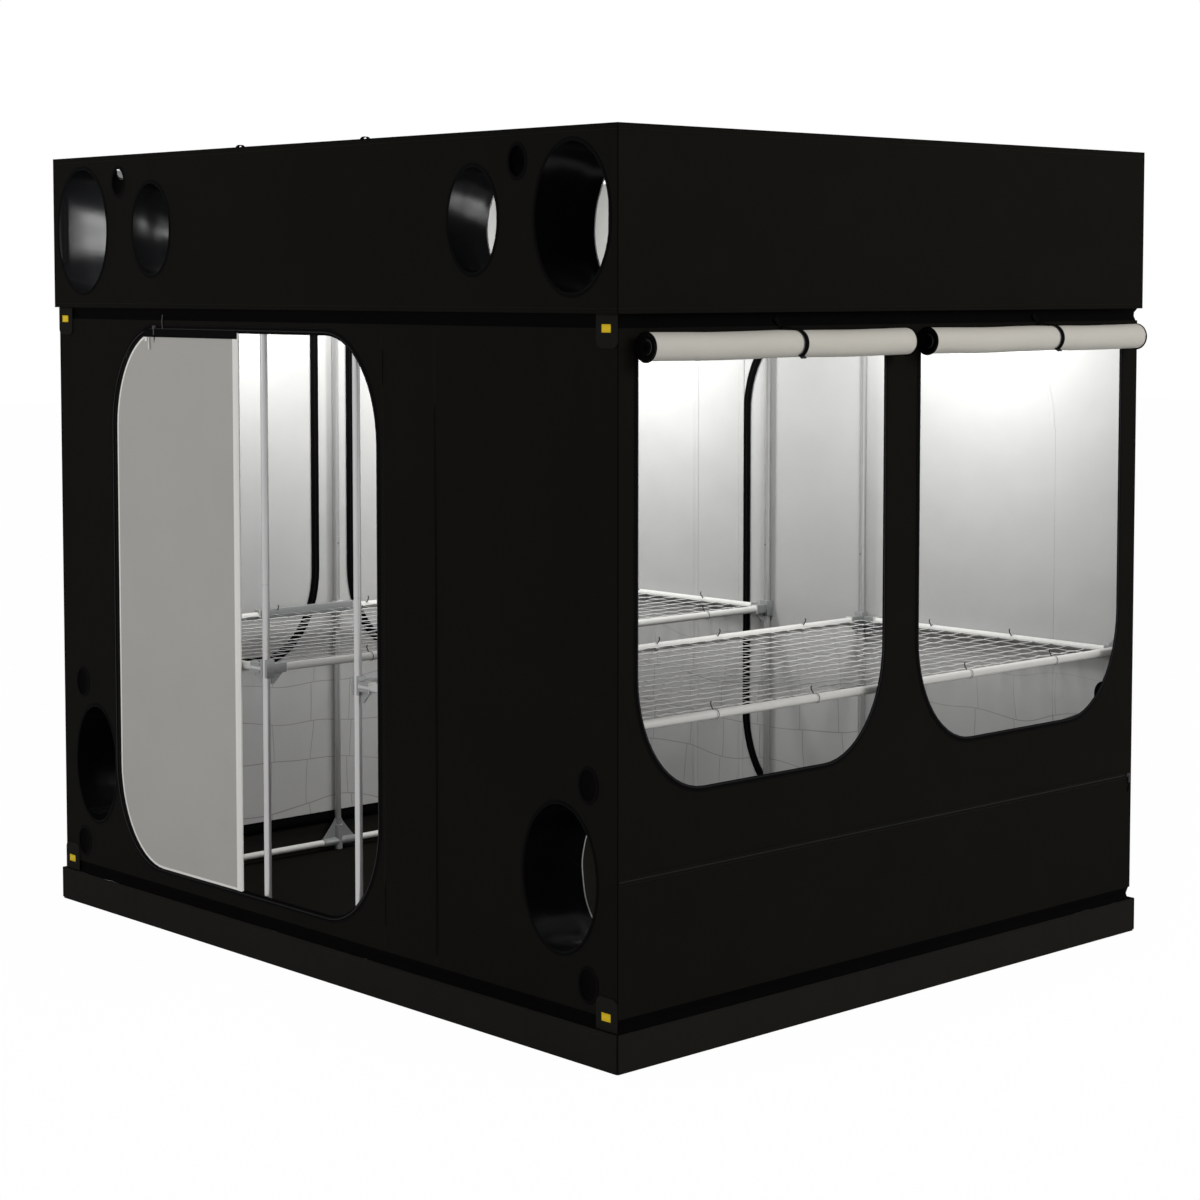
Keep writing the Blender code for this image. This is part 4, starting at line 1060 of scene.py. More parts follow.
def build_edges():
    """Piping round the hood, the walls and the tray, and rows of stitches beside it."""
    piping, threads = bmesh.new(), bmesh.new()
    for inset, height in LEVEL_PIPING:
        tube(piping, level_path(inset, height), PIPING, 8, closed=True)
    for inset, low, high in UPRIGHT_PIPING:
        for side_x in (-1, 1):
            for side_y in (-1, 1):
                x, y = side_x * (HALF_WIDTH - inset), side_y * (HALF_DEPTH - inset)
                tube(piping, [Vector((x, y, low)), Vector((x, y, high))], CORNER_PIPING, 8)
    add_piece("edge_piping", piping, "webbing_black")
    for height in HEM_STITCH_LEVELS:
        path = level_path(0, height, STITCH_CORNER)
        for start, end in zip(path, path[1:] + path[:1]):
            if (end - start).length > HALF_DEPTH:
                add_stitches(threads, [start, end], (end - start).cross(UP).normalized())
    add_piece("edge_stitches", threads, "thread_black", smooth=False)


def build_seams():
    """Felled seams and their stitches on the front and back walls, and the lining's seams behind them."""
    outside, threads, inner = bmesh.new(), bmesh.new(), bmesh.new()
    for side in (-1, 1):
        place, out, face = front_or_back(side)
        for across in SEAM_PLACES:
            path = on_wall(place, [(-side * across, WALL_BOTTOM), (-side * across, WALL_TOP)], out)
            tape(outside, path, face, SEAM_TAPE)
            two_rows(threads, path, face, -STITCH_SINK, SEAM_TAPE[0] * SEAM_STITCH_SHARE)
            tape(inner, moved(path, face, -CLOTH - RIPPLE), -face, LINING_SEAM)
    add_piece("wall_seams", outside, "band_black")
    add_piece("wall_seam_stitches", threads, "thread_black", smooth=False)
    add_piece("lining_seams", inner, "lining")


def build_port_rims():
    """Bound rims round the ports."""
    rims = [((across, HOOD_PORT_Z), size, -HALF_DEPTH) for across, size in HOOD_PORTS]
    rims += [(spot, CABLE_PORT, -HALF_DEPTH) for spot in HOOD_CABLE_PORTS]
    for side in (-1, 1):
        rims += [((-side * across, WALL_PORT_Z), size, side * FACE_Y) for across, size in WALL_PORTS]
        rims += [(spot, CABLE_PORT, side * FACE_Y) for spot in CABLE_PORTS]
    shape = bmesh.new()
    for centre, size, out in rims:
        side = math.copysign(1, out)
        path = on_wall(facing_y, oval(centre, [one + RIM_REACH for one in size]), out - side * RIM_SINK)
        tape(shape, path, Vector((0, side, 0)), RIM_TAPE, True)
    add_piece("port_rims", shape, "webbing_black")


def squeezed(across, amount):
    """The place across, pushed in smoothly where a corner post stands behind the wall."""
    over = (abs(across) - POST_EDGE + POST_SOFTNESS) / POST_SOFTNESS
    if over <= 0:
        return across
    held = POST_EDGE - POST_SOFTNESS + POST_SOFTNESS * (1 - math.exp(-over))
    return math.copysign(abs(across) + (held - abs(across)) * amount, across)


def sleeve_point(centre, size, out, cuff, depth, share, turn, seed):
    """A place on a sleeve, at a share of its length and a turn round it."""
    length, closing, sag = cuff
    narrow = 1 - SLEEVE_TAPER_SHARE * share - closing * max(0, share - SLEEVE_CLOSING_START)
    coarse, fine = SLEEVE_FOLDS
    folds = math.sin(turn * coarse + seed + share * 2)
    folds += SLEEVE_FINE_SHARE * math.sin(turn * fine + seed * 3 - share * 3)
    folds = 1 + SLEEVE_FOLD_SHARE * folds * min(1, share * SLEEVE_FOLD_GROWTH)
    hang = noise.noise((math.cos(turn) * SLEEVE_HANG_SCALE,
                        math.sin(turn) * SLEEVE_HANG_SCALE + seed, share * 4))
    hang = 1 + SLEEVE_HANG_SHARE * share * hang
    half = [(one * narrow / 2 - depth - SLEEVE_GAP) * folds * hang for one in size]
    across = squeezed(centre[0] + half[0] * math.cos(turn), min(1, share * length / PORT_NECK))
    up = centre[1] + half[1] * math.sin(turn) - sag * share ** SLEEVE_SAG_POWER
    return facing_y(across, up, out - math.copysign(share * length, out))


def add_sleeve(shape, centre, size, out, cuff, seed):
    """Add a gathered cloth sleeve that runs inward from a port and sags, and give its hem's line."""
    outer, inner = (
        [[shape.verts.new(sleeve_point(centre, size, out, cuff, depth, number / SLEEVE_RINGS, turn, seed))
          for turn in turns(SLEEVE_STEPS)] for number in range(SLEEVE_RINGS + 1)]
        for depth in (0, CLOTH)
    )
    for rings in (outer, inner, [outer[0], inner[0]], [outer[-1], inner[-1]]):
        skin(shape, rings)
    return [(one.co + other.co) / 2 for one, other in zip(outer[-1], inner[-1])]


def build_sleeves():
    """A sleeve behind each big port, with a drawcord in its hem."""
    jobs = []
    for index, (across, size) in enumerate(HOOD_PORTS):
        length = SLEEVE_LONG if size is BIG_PORT else SLEEVE_SHORT
        jobs.append((f"hood_sleeve_{index + 1}", (across, HOOD_PORT_Z), size, -HALF_DEPTH, length))
    for index, (across, size) in enumerate(WALL_PORTS):
        jobs.append((f"front_sleeve_{index + 1}", (across, WALL_PORT_Z), size, -FACE_Y, SLEEVE_LONG))
        jobs.append((f"back_sleeve_{index + 1}", (-across, WALL_PORT_Z), size, FACE_Y, SLEEVE_LONG))
    hems = bmesh.new()
    for number, (node, centre, size, out, length) in enumerate(jobs):
        shape = bmesh.new()
        hem = add_sleeve(shape, centre, size, out, (length, SLEEVE_CLOSING, SLEEVE_SAG), number * SLEEVE_SEED)
        piece = add_piece(node + "_cloth", shape, "sleeve_black", (node,), crease_angle=60)
        tube(hems, hem, DRAWCORD, 6, closed=True)
    add_piece("sleeve_drawcords", hems, "cord_white")


def build_cuffs():
    """A short cuff behind each cable port: in the hood one is open and one is drawn shut."""
    jobs = [(spot, -HALF_DEPTH, cuff) for spot, cuff in zip(HOOD_CABLE_PORTS, (OPEN_CUFF, SHUT_CUFF))]
    jobs += [(spot, side * FACE_Y, FLAT_CUFF) for side in (-1, 1) for spot in CABLE_PORTS]
    cuffs = bmesh.new()
    for number, (spot, out, cuff) in enumerate(jobs):
        add_sleeve(cuffs, spot, CABLE_PORT, out, cuff, number * CUFF_SEED)
    add_piece("cable_cuffs", cuffs, "band_black", crease_angle=60)


def build_opening_edges():
    """Bindings, their stitches and zip teeth round the doors and windows."""
    bands, threads, chains = bmesh.new(), bmesh.new(), bmesh.new()
    for side in (-1, 1):
        jobs = [(front_or_back(side), [door_outline(side > 0, inset) for inset in OPENING_INSETS], True)]
        jobs += [(left_or_right(side), [window_edge(span, inset) for inset in OPENING_INSETS], False)
                 for _, span in WINDOW_SPANS]
        for (place, out, face), outlines, closed in jobs:
            path, line = (on_wall(place, outline, out, TAPE_STEP, closed) for outline in outlines)
            tape(bands, path, face, (BINDING_WIDTH, TAPE, BINDING_SINK), closed)
            two_rows(threads, path, face, STITCH_SINK, BINDING_WIDTH * BINDING_STITCH_SHARE, closed)
            add_chain(chains, line, face, closed, lift=CHAIN_SINK)
    add_piece("opening_bindings", bands, "webbing_black")
    add_piece("opening_stitches", threads, "thread_black", smooth=False)
    add_piece("opening_zip_teeth", chains, "coil_black", smooth=False)


def inner_tape(name, node, wall, points):
    """A zip tape on the inside of a wall, with its teeth and stitches."""
    place, out, face = wall
    shape = bmesh.new()
    path = on_wall(place, points, out, TAPE_STEP)
    tape(shape, path, -face, (ZIP_TAPE_WIDTH, TAPE, 0))
    add_chain(shape, moved(path, -face, TAPE * ZIP_CHAIN_SHARE), -face, look=1)
    two_rows(shape, path, -face, TAPE - ZIP_STITCH_SINK, ZIP_TAPE_WIDTH * ZIP_STITCH_SHARE, look=2)
    add_piece(name, shape, TAPE_LOOKS, (node,))


def build_inner_tapes():
    """The zip tapes that show inside, round the back door, the left windows and the front door."""
    outline = door_outline(True)
    outline = outline[-CORNER_POINTS - 1:] + outline[:CORNER_POINTS + 1]
    inner_tape("back_door_zip_tape", "back_door_zip", front_or_back(1, ZIP_TAPE_INSET), outline)
    wall = left_or_right(-1, ZIP_TAPE_INSET)
    for name, span in WINDOW_SPANS:
        inner_tape(f"left_window_zip_tape_{name}", f"left_window_zip_{name}", wall, window_edge(span))
    place, out, face = front_or_back(-1, ZIP_TAPE_INSET)
    shape = bmesh.new()
    path = on_wall(place, door_outline(False, FACING_INSET), out, TAPE_STEP, True)
    tape(shape, path, -face, FACING_TAPE, True)
    add_piece("front_door_facing_tape", shape, "webbing_black", ("front_door_facing",))


def round_middle(points):
    """The same places in their order round their middle."""
    across, up = np.mean(points, axis=0)
    return sorted(points, key=lambda point: math.atan2(point[1] - up, point[0] - across))


def over_fold(points):
    """Places of the free half, turned over the fold."""
    return [(2 * FOLD_X - across, up) for across, up in points]


def build_front_door():
    """The front door: its hinged half in the wall's plane, and its free half folded back over it."""
    full = door_outline(False, SLIT)
    low, high = DOOR_BOTTOM + SLIT, DOOR_TOP - SLIT
    edge, start = FOLD_X - FOLD_GAP, FOLD_X + FOLD_GAP
    hinged = round_middle([point for point in full if point[0] < edge] + [(edge, high), (edge, low)])
    cloth("front_door_hinged_cloth", "door_hinged_half", facing_y, hinged, -FACE_Y, 1, 31,
          body="front_door_hinged_half")
    free = [point for point in full if point[0] > start] + [(start, low), (start, high)]
    body, out, face = "front_door_free_half", -FACE_Y - FLAP_LIFT - CLOTH, Vector((0, -1, 0))
    # The folded half's lining side is the lining toned lighter, painted light; its rim is the hem's painted
    # highlight.
    cloth("front_door_folded_cloth", "door_folded_half", facing_y, round_middle(over_fold(free)), out, 1, 33,
          look=FLAP_CLOTH, body=body, step=FLAP_STEP, wave=-FLAP_WAVE)
    inset = SLIT + HEM_WIDTH * HEM_PLACE_SHARE
    rim = [(start, DOOR_BOTTOM + inset)] + [point for point in door_outline(False, inset) if point[0] > start]
    rim = over_fold([point for point in rim if point[1] < DOOR_TOP - HEM_END])
    fold = [(edge - FOLD_HEM[0] / 2, low), (edge - FOLD_HEM[0] / 2, high)]
    hems, dark = bmesh.new(), bmesh.new()
    # The hems are the flap's lining with a painted highlight along the fold's edges.
    tape(hems, on_wall(facing_y, rim, out), face, (HEM_WIDTH, HEM_RISE, HEM_SINK))
    tape(hems, on_wall(facing_y, fold, out), face, FOLD_HEM)
    add_piece("front_door_hems", hems, "hem_lining", body=body)
    tape(dark, on_wall(facing_y, [(TOP_HEM_END, TOP_HEM_Z), (edge, TOP_HEM_Z)], out), face, TOP_HEM)
    add_piece("front_door_top_hem", dark, "webbing_black", ("door_top_hem",), body)


def build_closed_flaps():
    """The closed back door, and the closed window flaps of the left wall."""
    cloth("back_door_cloth", "back_door", facing_y, door_outline(True, SLIT), FACE_Y, -1, 35,
          body="rear_door")
    for seed, (name, span) in enumerate(WINDOW_SPANS, 37):
        cloth(f"left_window_{name}_cloth", f"left_window_{name}", facing_x, window_outline(span, SLIT),
              -FACE_X, 1, seed, body=f"left_window_flap_{name}")


def bending_seam(name, section, backing, shift, bodies, bend, look, slot):
    """A sewn strip across a hinge. Its lining side and its backing are lines across the hinge."""
    shape = bmesh.new()
    line = section + backing[::-1]
    start, end = ([shape.verts.new(point + move) for point in line] for move in (Vector(), shift))
    count = len(section)
    strip(shape, start[:count], end[:count])
    strip(shape, start[count - 1:] + start[:1], end[count - 1:] + end[:1], 1)
    for side in (start, end):
        strip(shape, side[:count], side[:count - 1:-1], 1)
    seam = add_piece(name, shape, [look, "oxford_black"], body=None)
    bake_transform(seam)


def hinge_seam(name, flap, place, hinge, side, reach, out, inward):
    """The seam a flap hangs by, inside the wall. The side is +1 if the flap is on the hinge's plus side."""
    low, high = reach
    layers = [out + inward * (CLOTH + SEAM_THICKNESS * share) for share in SEAM_LAYER_SHARES]
    section, backing = ([place(hinge + side * SEAM_REACH * share, low, layer) for share in SEAM_SHARES]
                        for layer in layers)
    bend = [place(hinge + side * shift, low, out) for shift in (-SEAM_BEND, SEAM_BEND)]
    bending_seam(name, section, backing, place(0, high - low, 0), ("tent", flap), bend,
                 "lining", "liner_fabric")


def build_seams_at_hinges():
    """The seams that join doors and left windows to the walls, and covers at the back door's corners."""
    straight = (DOOR_BOTTOM + CORNER_HEIGHT, DOOR_TOP - CORNER_HEIGHT)
    hinge_seam("front_door_seam", "front_door_hinged_half", facing_y, DOOR_LEFT, 1, straight, -FACE_Y, 1)
    hinge_seam("back_door_seam", "rear_door", facing_y, -DOOR_LEFT, -1, straight, FACE_Y, -1)
    covers = bmesh.new()
    outline = door_outline(True, SLIT / 2)
    for corner in (1, 2):
        points = outline[corner * CORNER_POINTS:(corner + 1) * CORNER_POINTS]
        path = on_wall(facing_y, points, FACE_Y - CLOTH - SEAM_THICKNESS * SEAM_LAYER_SHARES[1], TAPE_STEP)
        tape(covers, path, Vector((0, -1, 0)), (COVER_WIDTH, SEAM_THICKNESS, 0))
    add_piece("back_door_corner_covers", covers, "lining")
    for name, (low, high) in WINDOW_SPANS:
        hinge_seam(f"left_window_{name}_seam", f"left_window_flap_{name}",
                   lambda up, across, out: facing_x(across, up, out), WINDOW_TOP - SLIT, -1,
                   (low + SLIT * 2, high - SLIT * 2), -FACE_X, 1)


def build_fold_seam():
    """The seam in the front door's fold."""
    low, high = DOOR_BOTTOM + SLIT * 2, DOOR_TOP - SLIT * 2
    middle = Vector((FOLD_X, FOLD_Y, low))
    layers = []
    for radius in (FOLD_RADIUS + SEAM_THICKNESS, FOLD_RADIUS):
        arc = [middle + Vector((math.cos(turn), math.sin(turn), 0)) * radius
               for turn in turns(10, math.pi / 2, -math.pi, True)]
        flat = Vector((-SEAM_REACH, 0, 0))
        layers.append([arc[0] + flat, *arc, arc[-1] + flat])
    bend = [middle + Vector((0, reach, 0)) for reach in (FOLD_RADIUS, -FOLD_RADIUS)]
    # The fold's seam shows the hem's painted highlight.
    bending_seam("front_door_fold_seam", *layers, UP * (high - low),
                 ("front_door_hinged_half", "front_door_free_half"), bend, "hem_lining", "flap_lining")


def winding(steps):
    """The share and the turn of each step along a wound sheet."""
    return [(step / steps, ROLL_START - step / steps * ROLL_TURNS * 2 * math.pi) for step in range(steps + 1)]


def round_roll(middle, along, size, turn):
    return Vector((middle.x + size * math.cos(turn), along, middle.z + size * math.sin(turn)))


def roll_ring(shape, low, high, along, radius, strap):
    """One line of the wound sheet, at a place along the roll."""
    middle = (low + high) / 2
    pinch = 1 - ROLL_PINCH_SHARE * math.exp(-((along - strap) / ROLL_PINCH_WIDTH) ** 2)
    sag = ROLL_SAG * math.sin((along - low.y) / (high.y - low.y) * math.pi * 2) ** 2
    ring = []
    for share, turn in winding(ROLL_STEPS):
        wrinkle = ROLL_WRINKLE * noise.noise((along * 9, math.cos(turn) * 2, math.sin(turn) * 2))
        size = (radius - ROLL_CLOSING * share) * pinch + wrinkle * (1 - share)
        ring.append(shape.verts.new(round_roll(middle, along, size, turn) - UP * sag))
    return ring


def build_rolls():
    """The rolled flaps of the right wall: a wound sheet that is pinched a little at its strap."""
    for name, strap in STRAPS:
        low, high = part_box("window_roll_" + name)
        high.y -= ROLL_SHORT
        radius = (high.z - low.z) / 2
        shape = bmesh.new()
        outer, inner = (
            [roll_ring(shape, low, high, along, radius - depth, strap)
             for along in np.linspace(low.y, high.y, ROLL_STATIONS)]
            for depth in (0, ROLL_LAYER)
        )
        for look, rings in enumerate((outer, inner)):
            for first, second in zip(rings, rings[1:]):
                strip(shape, first, second, look)
        for end in (0, -1):
            strip(shape, outer[end], inner[end], 1)
            strip(shape, [ring[end] for ring in outer], [ring[end] for ring in inner], 1)
        # The roll's lining side is the lining toned lighter where the light falls: painted light.
        piece = add_piece(f"window_roll_{name}_cloth", shape, ["roll_lining_painted_light", "oxford_black"],
                          ("window_roll_" + name,), crease_angle=50)
        roll_ends(name, low, high)


def roll_ends(name, low, high):
    """The dark wound ends of a roll: a winding over a cap that is a little hollow, and a rim."""
    ends = bmesh.new()
    middle = (low + high) / 2
    radius = (high.z - low.z) / 2
    for end, side in ((low.y, 1), (high.y, -1)):
        wound = end + side * WOUND_LIFT
        path = [round_roll(middle, wound, radius - WOUND_INSET - WOUND_CLOSING * share, turn)
                for share, turn in winding(WOUND_STEPS)]
        tube(ends, path, WOUND_RADIUS, 6)
        rings = []
        for share in CAP_SHARES:
            along = end + side * (CAP_LIFT + CAP_HOLLOW * (1 - share) ** 2)
            rings.append([ends.verts.new(round_roll(middle, along, (radius - CAP_INSET) * share, turn))
                          for turn in turns(36)])
        skin(ends, rings)
        ends.faces.new(rings[-1])
        rim = [round_roll(middle, end + side * END_RIM_LIFT, radius - END_RIM_INSET, turn)
               for turn in turns(48)]
        tube(ends, rim, END_RIM, 6, closed=True)
    add_piece(f"window_roll_{name}_ends", ends, "band_black")


def build_straps():
    """The straps round the rolls, each with its sewn root and a slide buckle."""
    across = Vector((0, 1, 0))
    for name, along in STRAPS:
        low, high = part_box("window_roll_" + name)
        middle = (low + high) / 2
        radius = (high.z - low.z) / 2 + STRAP_LIFT
        root, shape = bmesh.new(), bmesh.new()
        sewn, path = ([Vector(spot) + across * along for spot in spots]
                      for spots in (STRAP_ROOT, STRAP_START))
        ribbon(root, sewn, across, STRAP_ROOT_SIZE)
        add_piece(f"roll_strap_{name}_root", root, "webbing_black")
        for step, turn in enumerate(turns(STRAP_STEPS, *STRAP_TURN, True)):
            drift = STRAP_DRIFT * math.sin(step / STRAP_STEPS * math.pi)
            path.append(round_roll(middle, along + drift, radius, turn))
        ribbon(shape, path, across, STRAP_SIZE)
        turn = Matrix.Rotation(BUCKLE_TURN, 3, "Y")
        block(shape, path[-1] + Vector(BUCKLE_LIFT), BUCKLE_SIZE, BUCKLE_EDGE, 1, turn)
        add_piece(f"roll_strap_{name}_band", shape, ["webbing_black", "steel_black"],
                  ("roll_strap_" + name,), "strap_" + name)


def tab_outline(centre, root, toward):
    """A tab's outline, straight at its root and rounded at its tip."""
    tip = root + toward * TAB_LENGTH
    outline = [(centre - TAB_HALF, root), (centre + TAB_HALF, root)]
    for middle, start in ((centre + TAB_HALF - TAB_CORNER, 0), (centre - TAB_HALF + TAB_CORNER, math.pi / 2)):
        outline += [(middle + TAB_CORNER * math.cos(turn), tip - toward * TAB_CORNER * (1 - math.sin(turn)))
                    for turn in turns(6, start, math.pi / 2, True)]
    return outline if toward > 0 else outline[::-1]


def build_tabs():
    """The corner tabs: rounded cloth tabs with a stitched edge and a small woven patch."""
    for side, side_name in ((-1, "left"), (1, "right")):
        centre = side * TAB_X
        for level, root, toward in (("top", HOOD_BOTTOM - TAB_GAP, -1), ("bottom", TRAY_TOP + TAB_GAP, 1)):
            name = f"tab_{side_name}_{level}"
            outline = tab_outline(centre, root, toward)
            shape = cloth_shape(facing_y, outline, (), -FACE_Y - TAB_LIFT, 1, TAB_STEP, 0, 1, TAB_BULGE)
            for one in shape.faces:
                one.material_index = 0
            middle = Vector((centre, -FACE_Y - TAB_STITCH_LIFT, root + toward * TAB_LENGTH / 2))
            rim = [Vector((x, middle.y, z)).lerp(middle, TAB_STITCH_SHARE) for x, z in outline]
            add_stitches(shape, rim, Vector((0, -1, 0)), 0, True, look=2)
            patch(shape, Vector((centre, -FACE_Y - PATCH_LIFT, root + toward * PATCH_DROP)))
            add_piece(name + "_cloth", shape, ["tab_black", "patch_yellow", "thread_black"],
                      (name,), name)


def patch(shape, spot):
    """A plain woven patch with a satin-stitched rim."""
    width, rise, height = PATCH_SIZE
    block(shape, spot, PATCH_SIZE, PATCH_EDGE, 1)
    for index in range(PATCH_RIDGES):
        across = width * ((index + 0.5) / PATCH_RIDGES - 0.5)
        for up in (-height / 2, height / 2):
            block(shape, spot + Vector((across, -RIDGE_LIFT, up * RIDGE_PLACE_SHARE)),
                  (width / PATCH_RIDGES * RIDGE_WIDTH_SHARE, rise, RIDGE_HEIGHT), RIDGE_EDGE, 1)


def build_side_zips():
    """The level zips of the side walls: two lips with teeth between them."""
    for side, name in ((-1, "left"), (1, "right")):
        place, out, face = left_or_right(side)
        shape = bmesh.new()
        lower, upper, middle = (
            on_wall(place, [(-SIDE_ZIP_END, up), (SIDE_ZIP_END, up)], out, SIDE_ZIP_STEP)
            for up in (SIDE_ZIP_Z - SIDE_ZIP_LIP, SIDE_ZIP_Z + SIDE_ZIP_LIP, SIDE_ZIP_Z)
        )
        for path in (lower, upper):
            tape(shape, path, face, SIDE_ZIP_TAPE)
            add_stitches(shape, moved(path, face, SIDE_STITCH_LIFT), face, SIDE_STITCH_OFFSET, look=2)
        add_chain(shape, middle, face, look=1, lift=SIDE_CHAIN_SINK)
        add_piece(name + "_side_zip", shape, ["oxford_black", "coil_black", "thread_black"])


def slider(name, node, body, wall, centre):
    """A zip slider with its bridge, its pull plate and a cord tail."""
    place, out, _ = wall
    shape = bmesh.new()

    def at(across, up, lift):
        return place(centre[0] + across, centre[1] + up, out + math.copysign(lift, out))

    for spot, size, edge in (SLIDER_BODY, SLIDER_PULL):
        block(shape, at(*spot), place(*size), edge)
    tube(shape, [at(*spot) for spot in SLIDER_BRIDGE], BRIDGE_RADIUS, 8)
    tail = []
    for step in range(7):
        moves = (math.sin(step), step, step)
        tail.append(at(*(start + move * reach for start, move, reach in zip(TAIL_START, moves, TAIL_STEP))))
    tube(shape, tail, TAIL_RADIUS, 6, look=1)
    add_piece(name, shape, ["steel_black", "webbing_black"], (node,), body)


def build_sliders():
    """The sliders of the door zips and of the side zips."""
    across, up = DOOR_LEFT + CORNER_WIDTH, DOOR_TOP + DOOR_SLIDER_LIFT
    slider("front_door_zip_slider", "front_door_slider", "slider_front_door", front_or_back(-1), (across, up))
    slider("back_door_zip_slider", "back_door_slider", "slider_back_door", front_or_back(1), (-across, up))
    along = FACE_Y - SIDE_SLIDER_INSET
    for side, name in ((-1, "left"), (1, "right")):
        slider(f"{name}_side_zip_slider", f"{name}_zip_slider", f"slider_{name}_zip", left_or_right(side),
               (side * along, SIDE_ZIP_Z))


def build_small_fittings():
    """The zip tag and the tie loop at the front door, and the roof's loops."""
    tag, loops = bmesh.new(), bmesh.new()
    block(tag, Vector(TAG_PLACE), TAG_SIZE, TAG_EDGE)
    tube(tag, [Vector(spot) for spot in TAG_CORD], TAG_CORD_RADIUS, 8)
    add_piece("door_zip_tag", tag, "cord_white", body="front_door_free_half")
    for across in ROOF_LOOPS:
        path = [Vector((across + ROOF_LOOP_SIZE[0] * math.cos(turn), ROOF_LOOP_Y,
                        ROOF_LOOP_Z + ROOF_LOOP_SIZE[1] * math.sin(turn)))
                for turn in turns(8, 0, math.pi, True)]
        ribbon(loops, path, Vector((0, 1, 0)), ROOF_LOOP_STRIP)
    ribbon(loops, [Vector(spot) for spot in TIE_LOOP], Vector((1, 0, 0)), TIE_LOOP_STRIP, look=1)
    add_piece("loops", loops, ["webbing_black", "steel_black"])


def build_posts():
    """The posts with their swaged joints and spring buttons, and the roof bars."""
    names = [f"{kind}_post_{end}_{side}" for kind in ("corner", "inner") for end in ("front", "back")
             for side in ("left", "right")]
    for name in [*names, "side_post_left", "side_post_right"]:
        low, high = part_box(name)
        foot = Vector(((low.x + high.x) / 2, (low.y + high.y) / 2, 0))
        joint = low.z + (high.z - low.z) * JOINT_SHARE
        shape = bmesh.new()
        tube_run(shape, foot + UP * low.z, foot + UP * joint, POLE)
        tube_run(shape, foot + UP * (joint + JOINT_GAP), foot + UP * high.z, POLE)
        tube(shape, [foot + UP * (joint + lift) for lift in JOINT_PIN], POLE * JOINT_PIN_SHARE, 20)
        if name.startswith("side"):
            inward = Vector((-math.copysign(1, foot.x), 0, 0))
        else:
            inward = Vector((0, -math.copysign(1, foot.y), 0))
        for height in (joint - BUTTON_DROP, low.z + BUTTON_END, high.z - BUTTON_END):
            spot = foot + UP * height
            tube(shape, [spot, spot + inward * (POLE / 2 + BUTTON_REACH)], BUTTON_RADII, 12, 1)
        add_piece(name + "_tube", shape, ["post_grey", "bracket_grey"], (name,))
    for name in ("roof_bar_left", "roof_bar_right"):
        low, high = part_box(name)
        x, z = (low.x + high.x) / 2, (low.z + high.z) / 2
        shape = bmesh.new()
        tube_run(shape, (x, low.y, z), (x, high.y, z), POLE)
        add_piece(name + "_tube", shape, "tube_white", (name,))


def post_spots():
    """Each connector's X and Y, and the directions of its rails."""
    corners = [(side_x, side_y) for side_x in (-1, 1) for side_y in (-1, 1)]
    spots = [(x * POST_X, y * POST_Y, [(-x, 0), (0, -y)]) for x, y in corners]
    spots += [(x * POST_INNER_X, y * POST_Y, [(-1, 0), (1, 0)]) for x, y in corners]
    spots += [(x * POST_X, 0, [(0, -1), (0, 1)]) for x in (-1, 1)]
    return spots


def gusset(shape, corner, along, up, size):
    """A triangular web between a rail and a post, with a rounded free edge."""
    reach, rise, thickness = size
    side = along.cross(up).normalized() * thickness / 2
    places = [(0, 0), (reach, 0), (reach, GUSSET_FOOT_SHARE)]
    for step in range(1, 6):
        share = step / 6
        places.append((reach * (1 - share) ** GUSSET_POWER + GUSSET_TIP * share,
                       GUSSET_FOOT_SHARE + (1 - GUSSET_FOOT_SHARE) * share))
    places += [(GUSSET_TIP, 1), (0, 1)]
    profile = [corner + along * out + up * rise * share for out, share in places]
    solid(shape, [[shape.verts.new(point + move) for point in profile] for move in (side, -side)])


def connector(shape, foot, level, heights, lift, ways):
    """A socket on a post, and toward each rail an arm, a web and two rivets."""
    tube(shape, [foot + UP * height for height in heights], SOCKET_RADII, 20)
    middle = foot + UP * level
    for way in ways:
        along = Vector((*way, 0))
        arm = [middle, middle + along * (GUSSET_REACH - ARM_END), middle + along * GUSSET_REACH]
        tube(shape, arm, ARM_RADII, 20)
        gusset(shape, middle, along, UP * lift, (GUSSET_REACH, GUSSET_RISE, GUSSET_THICKNESS))
        for hand in (-1, 1):
            out = along.cross(UP) * hand
            tube(shape, [middle + along * RIVET_PLACE + out * reach for reach in RIVET_ENDS], RIVET_RADII, 10)


def build_rails():
    """The rails at the floor and under the roof, with their gusseted connectors."""
    end_x, end_y = POST_X - RAIL_END, POST_Y - RAIL_END
    for name, level, lift in RAIL_LEVELS:
        start, end = sorted((corner.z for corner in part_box(name)), key=lambda height: height * lift)
        heights = (start + lift * SOCKET_LIFT, end - lift * SOCKET_SOFT, end)
        rails, joints = bmesh.new(), bmesh.new()
        for side in (-1, 1):
            tube_run(rails, (-end_x, side * POST_Y, level), (end_x, side * POST_Y, level), POLE)
            tube_run(rails, (side * POST_X, -end_y, level), (side * POST_X, end_y, level), POLE)
        for x, y, ways in post_spots():
            connector(joints, Vector((x, y, 0)), level, heights, lift, ways)
        add_piece(name + "_tubes", rails, "tube_white", (name,))
        add_piece(name + "_connectors", joints, "bracket_grey", (name,))


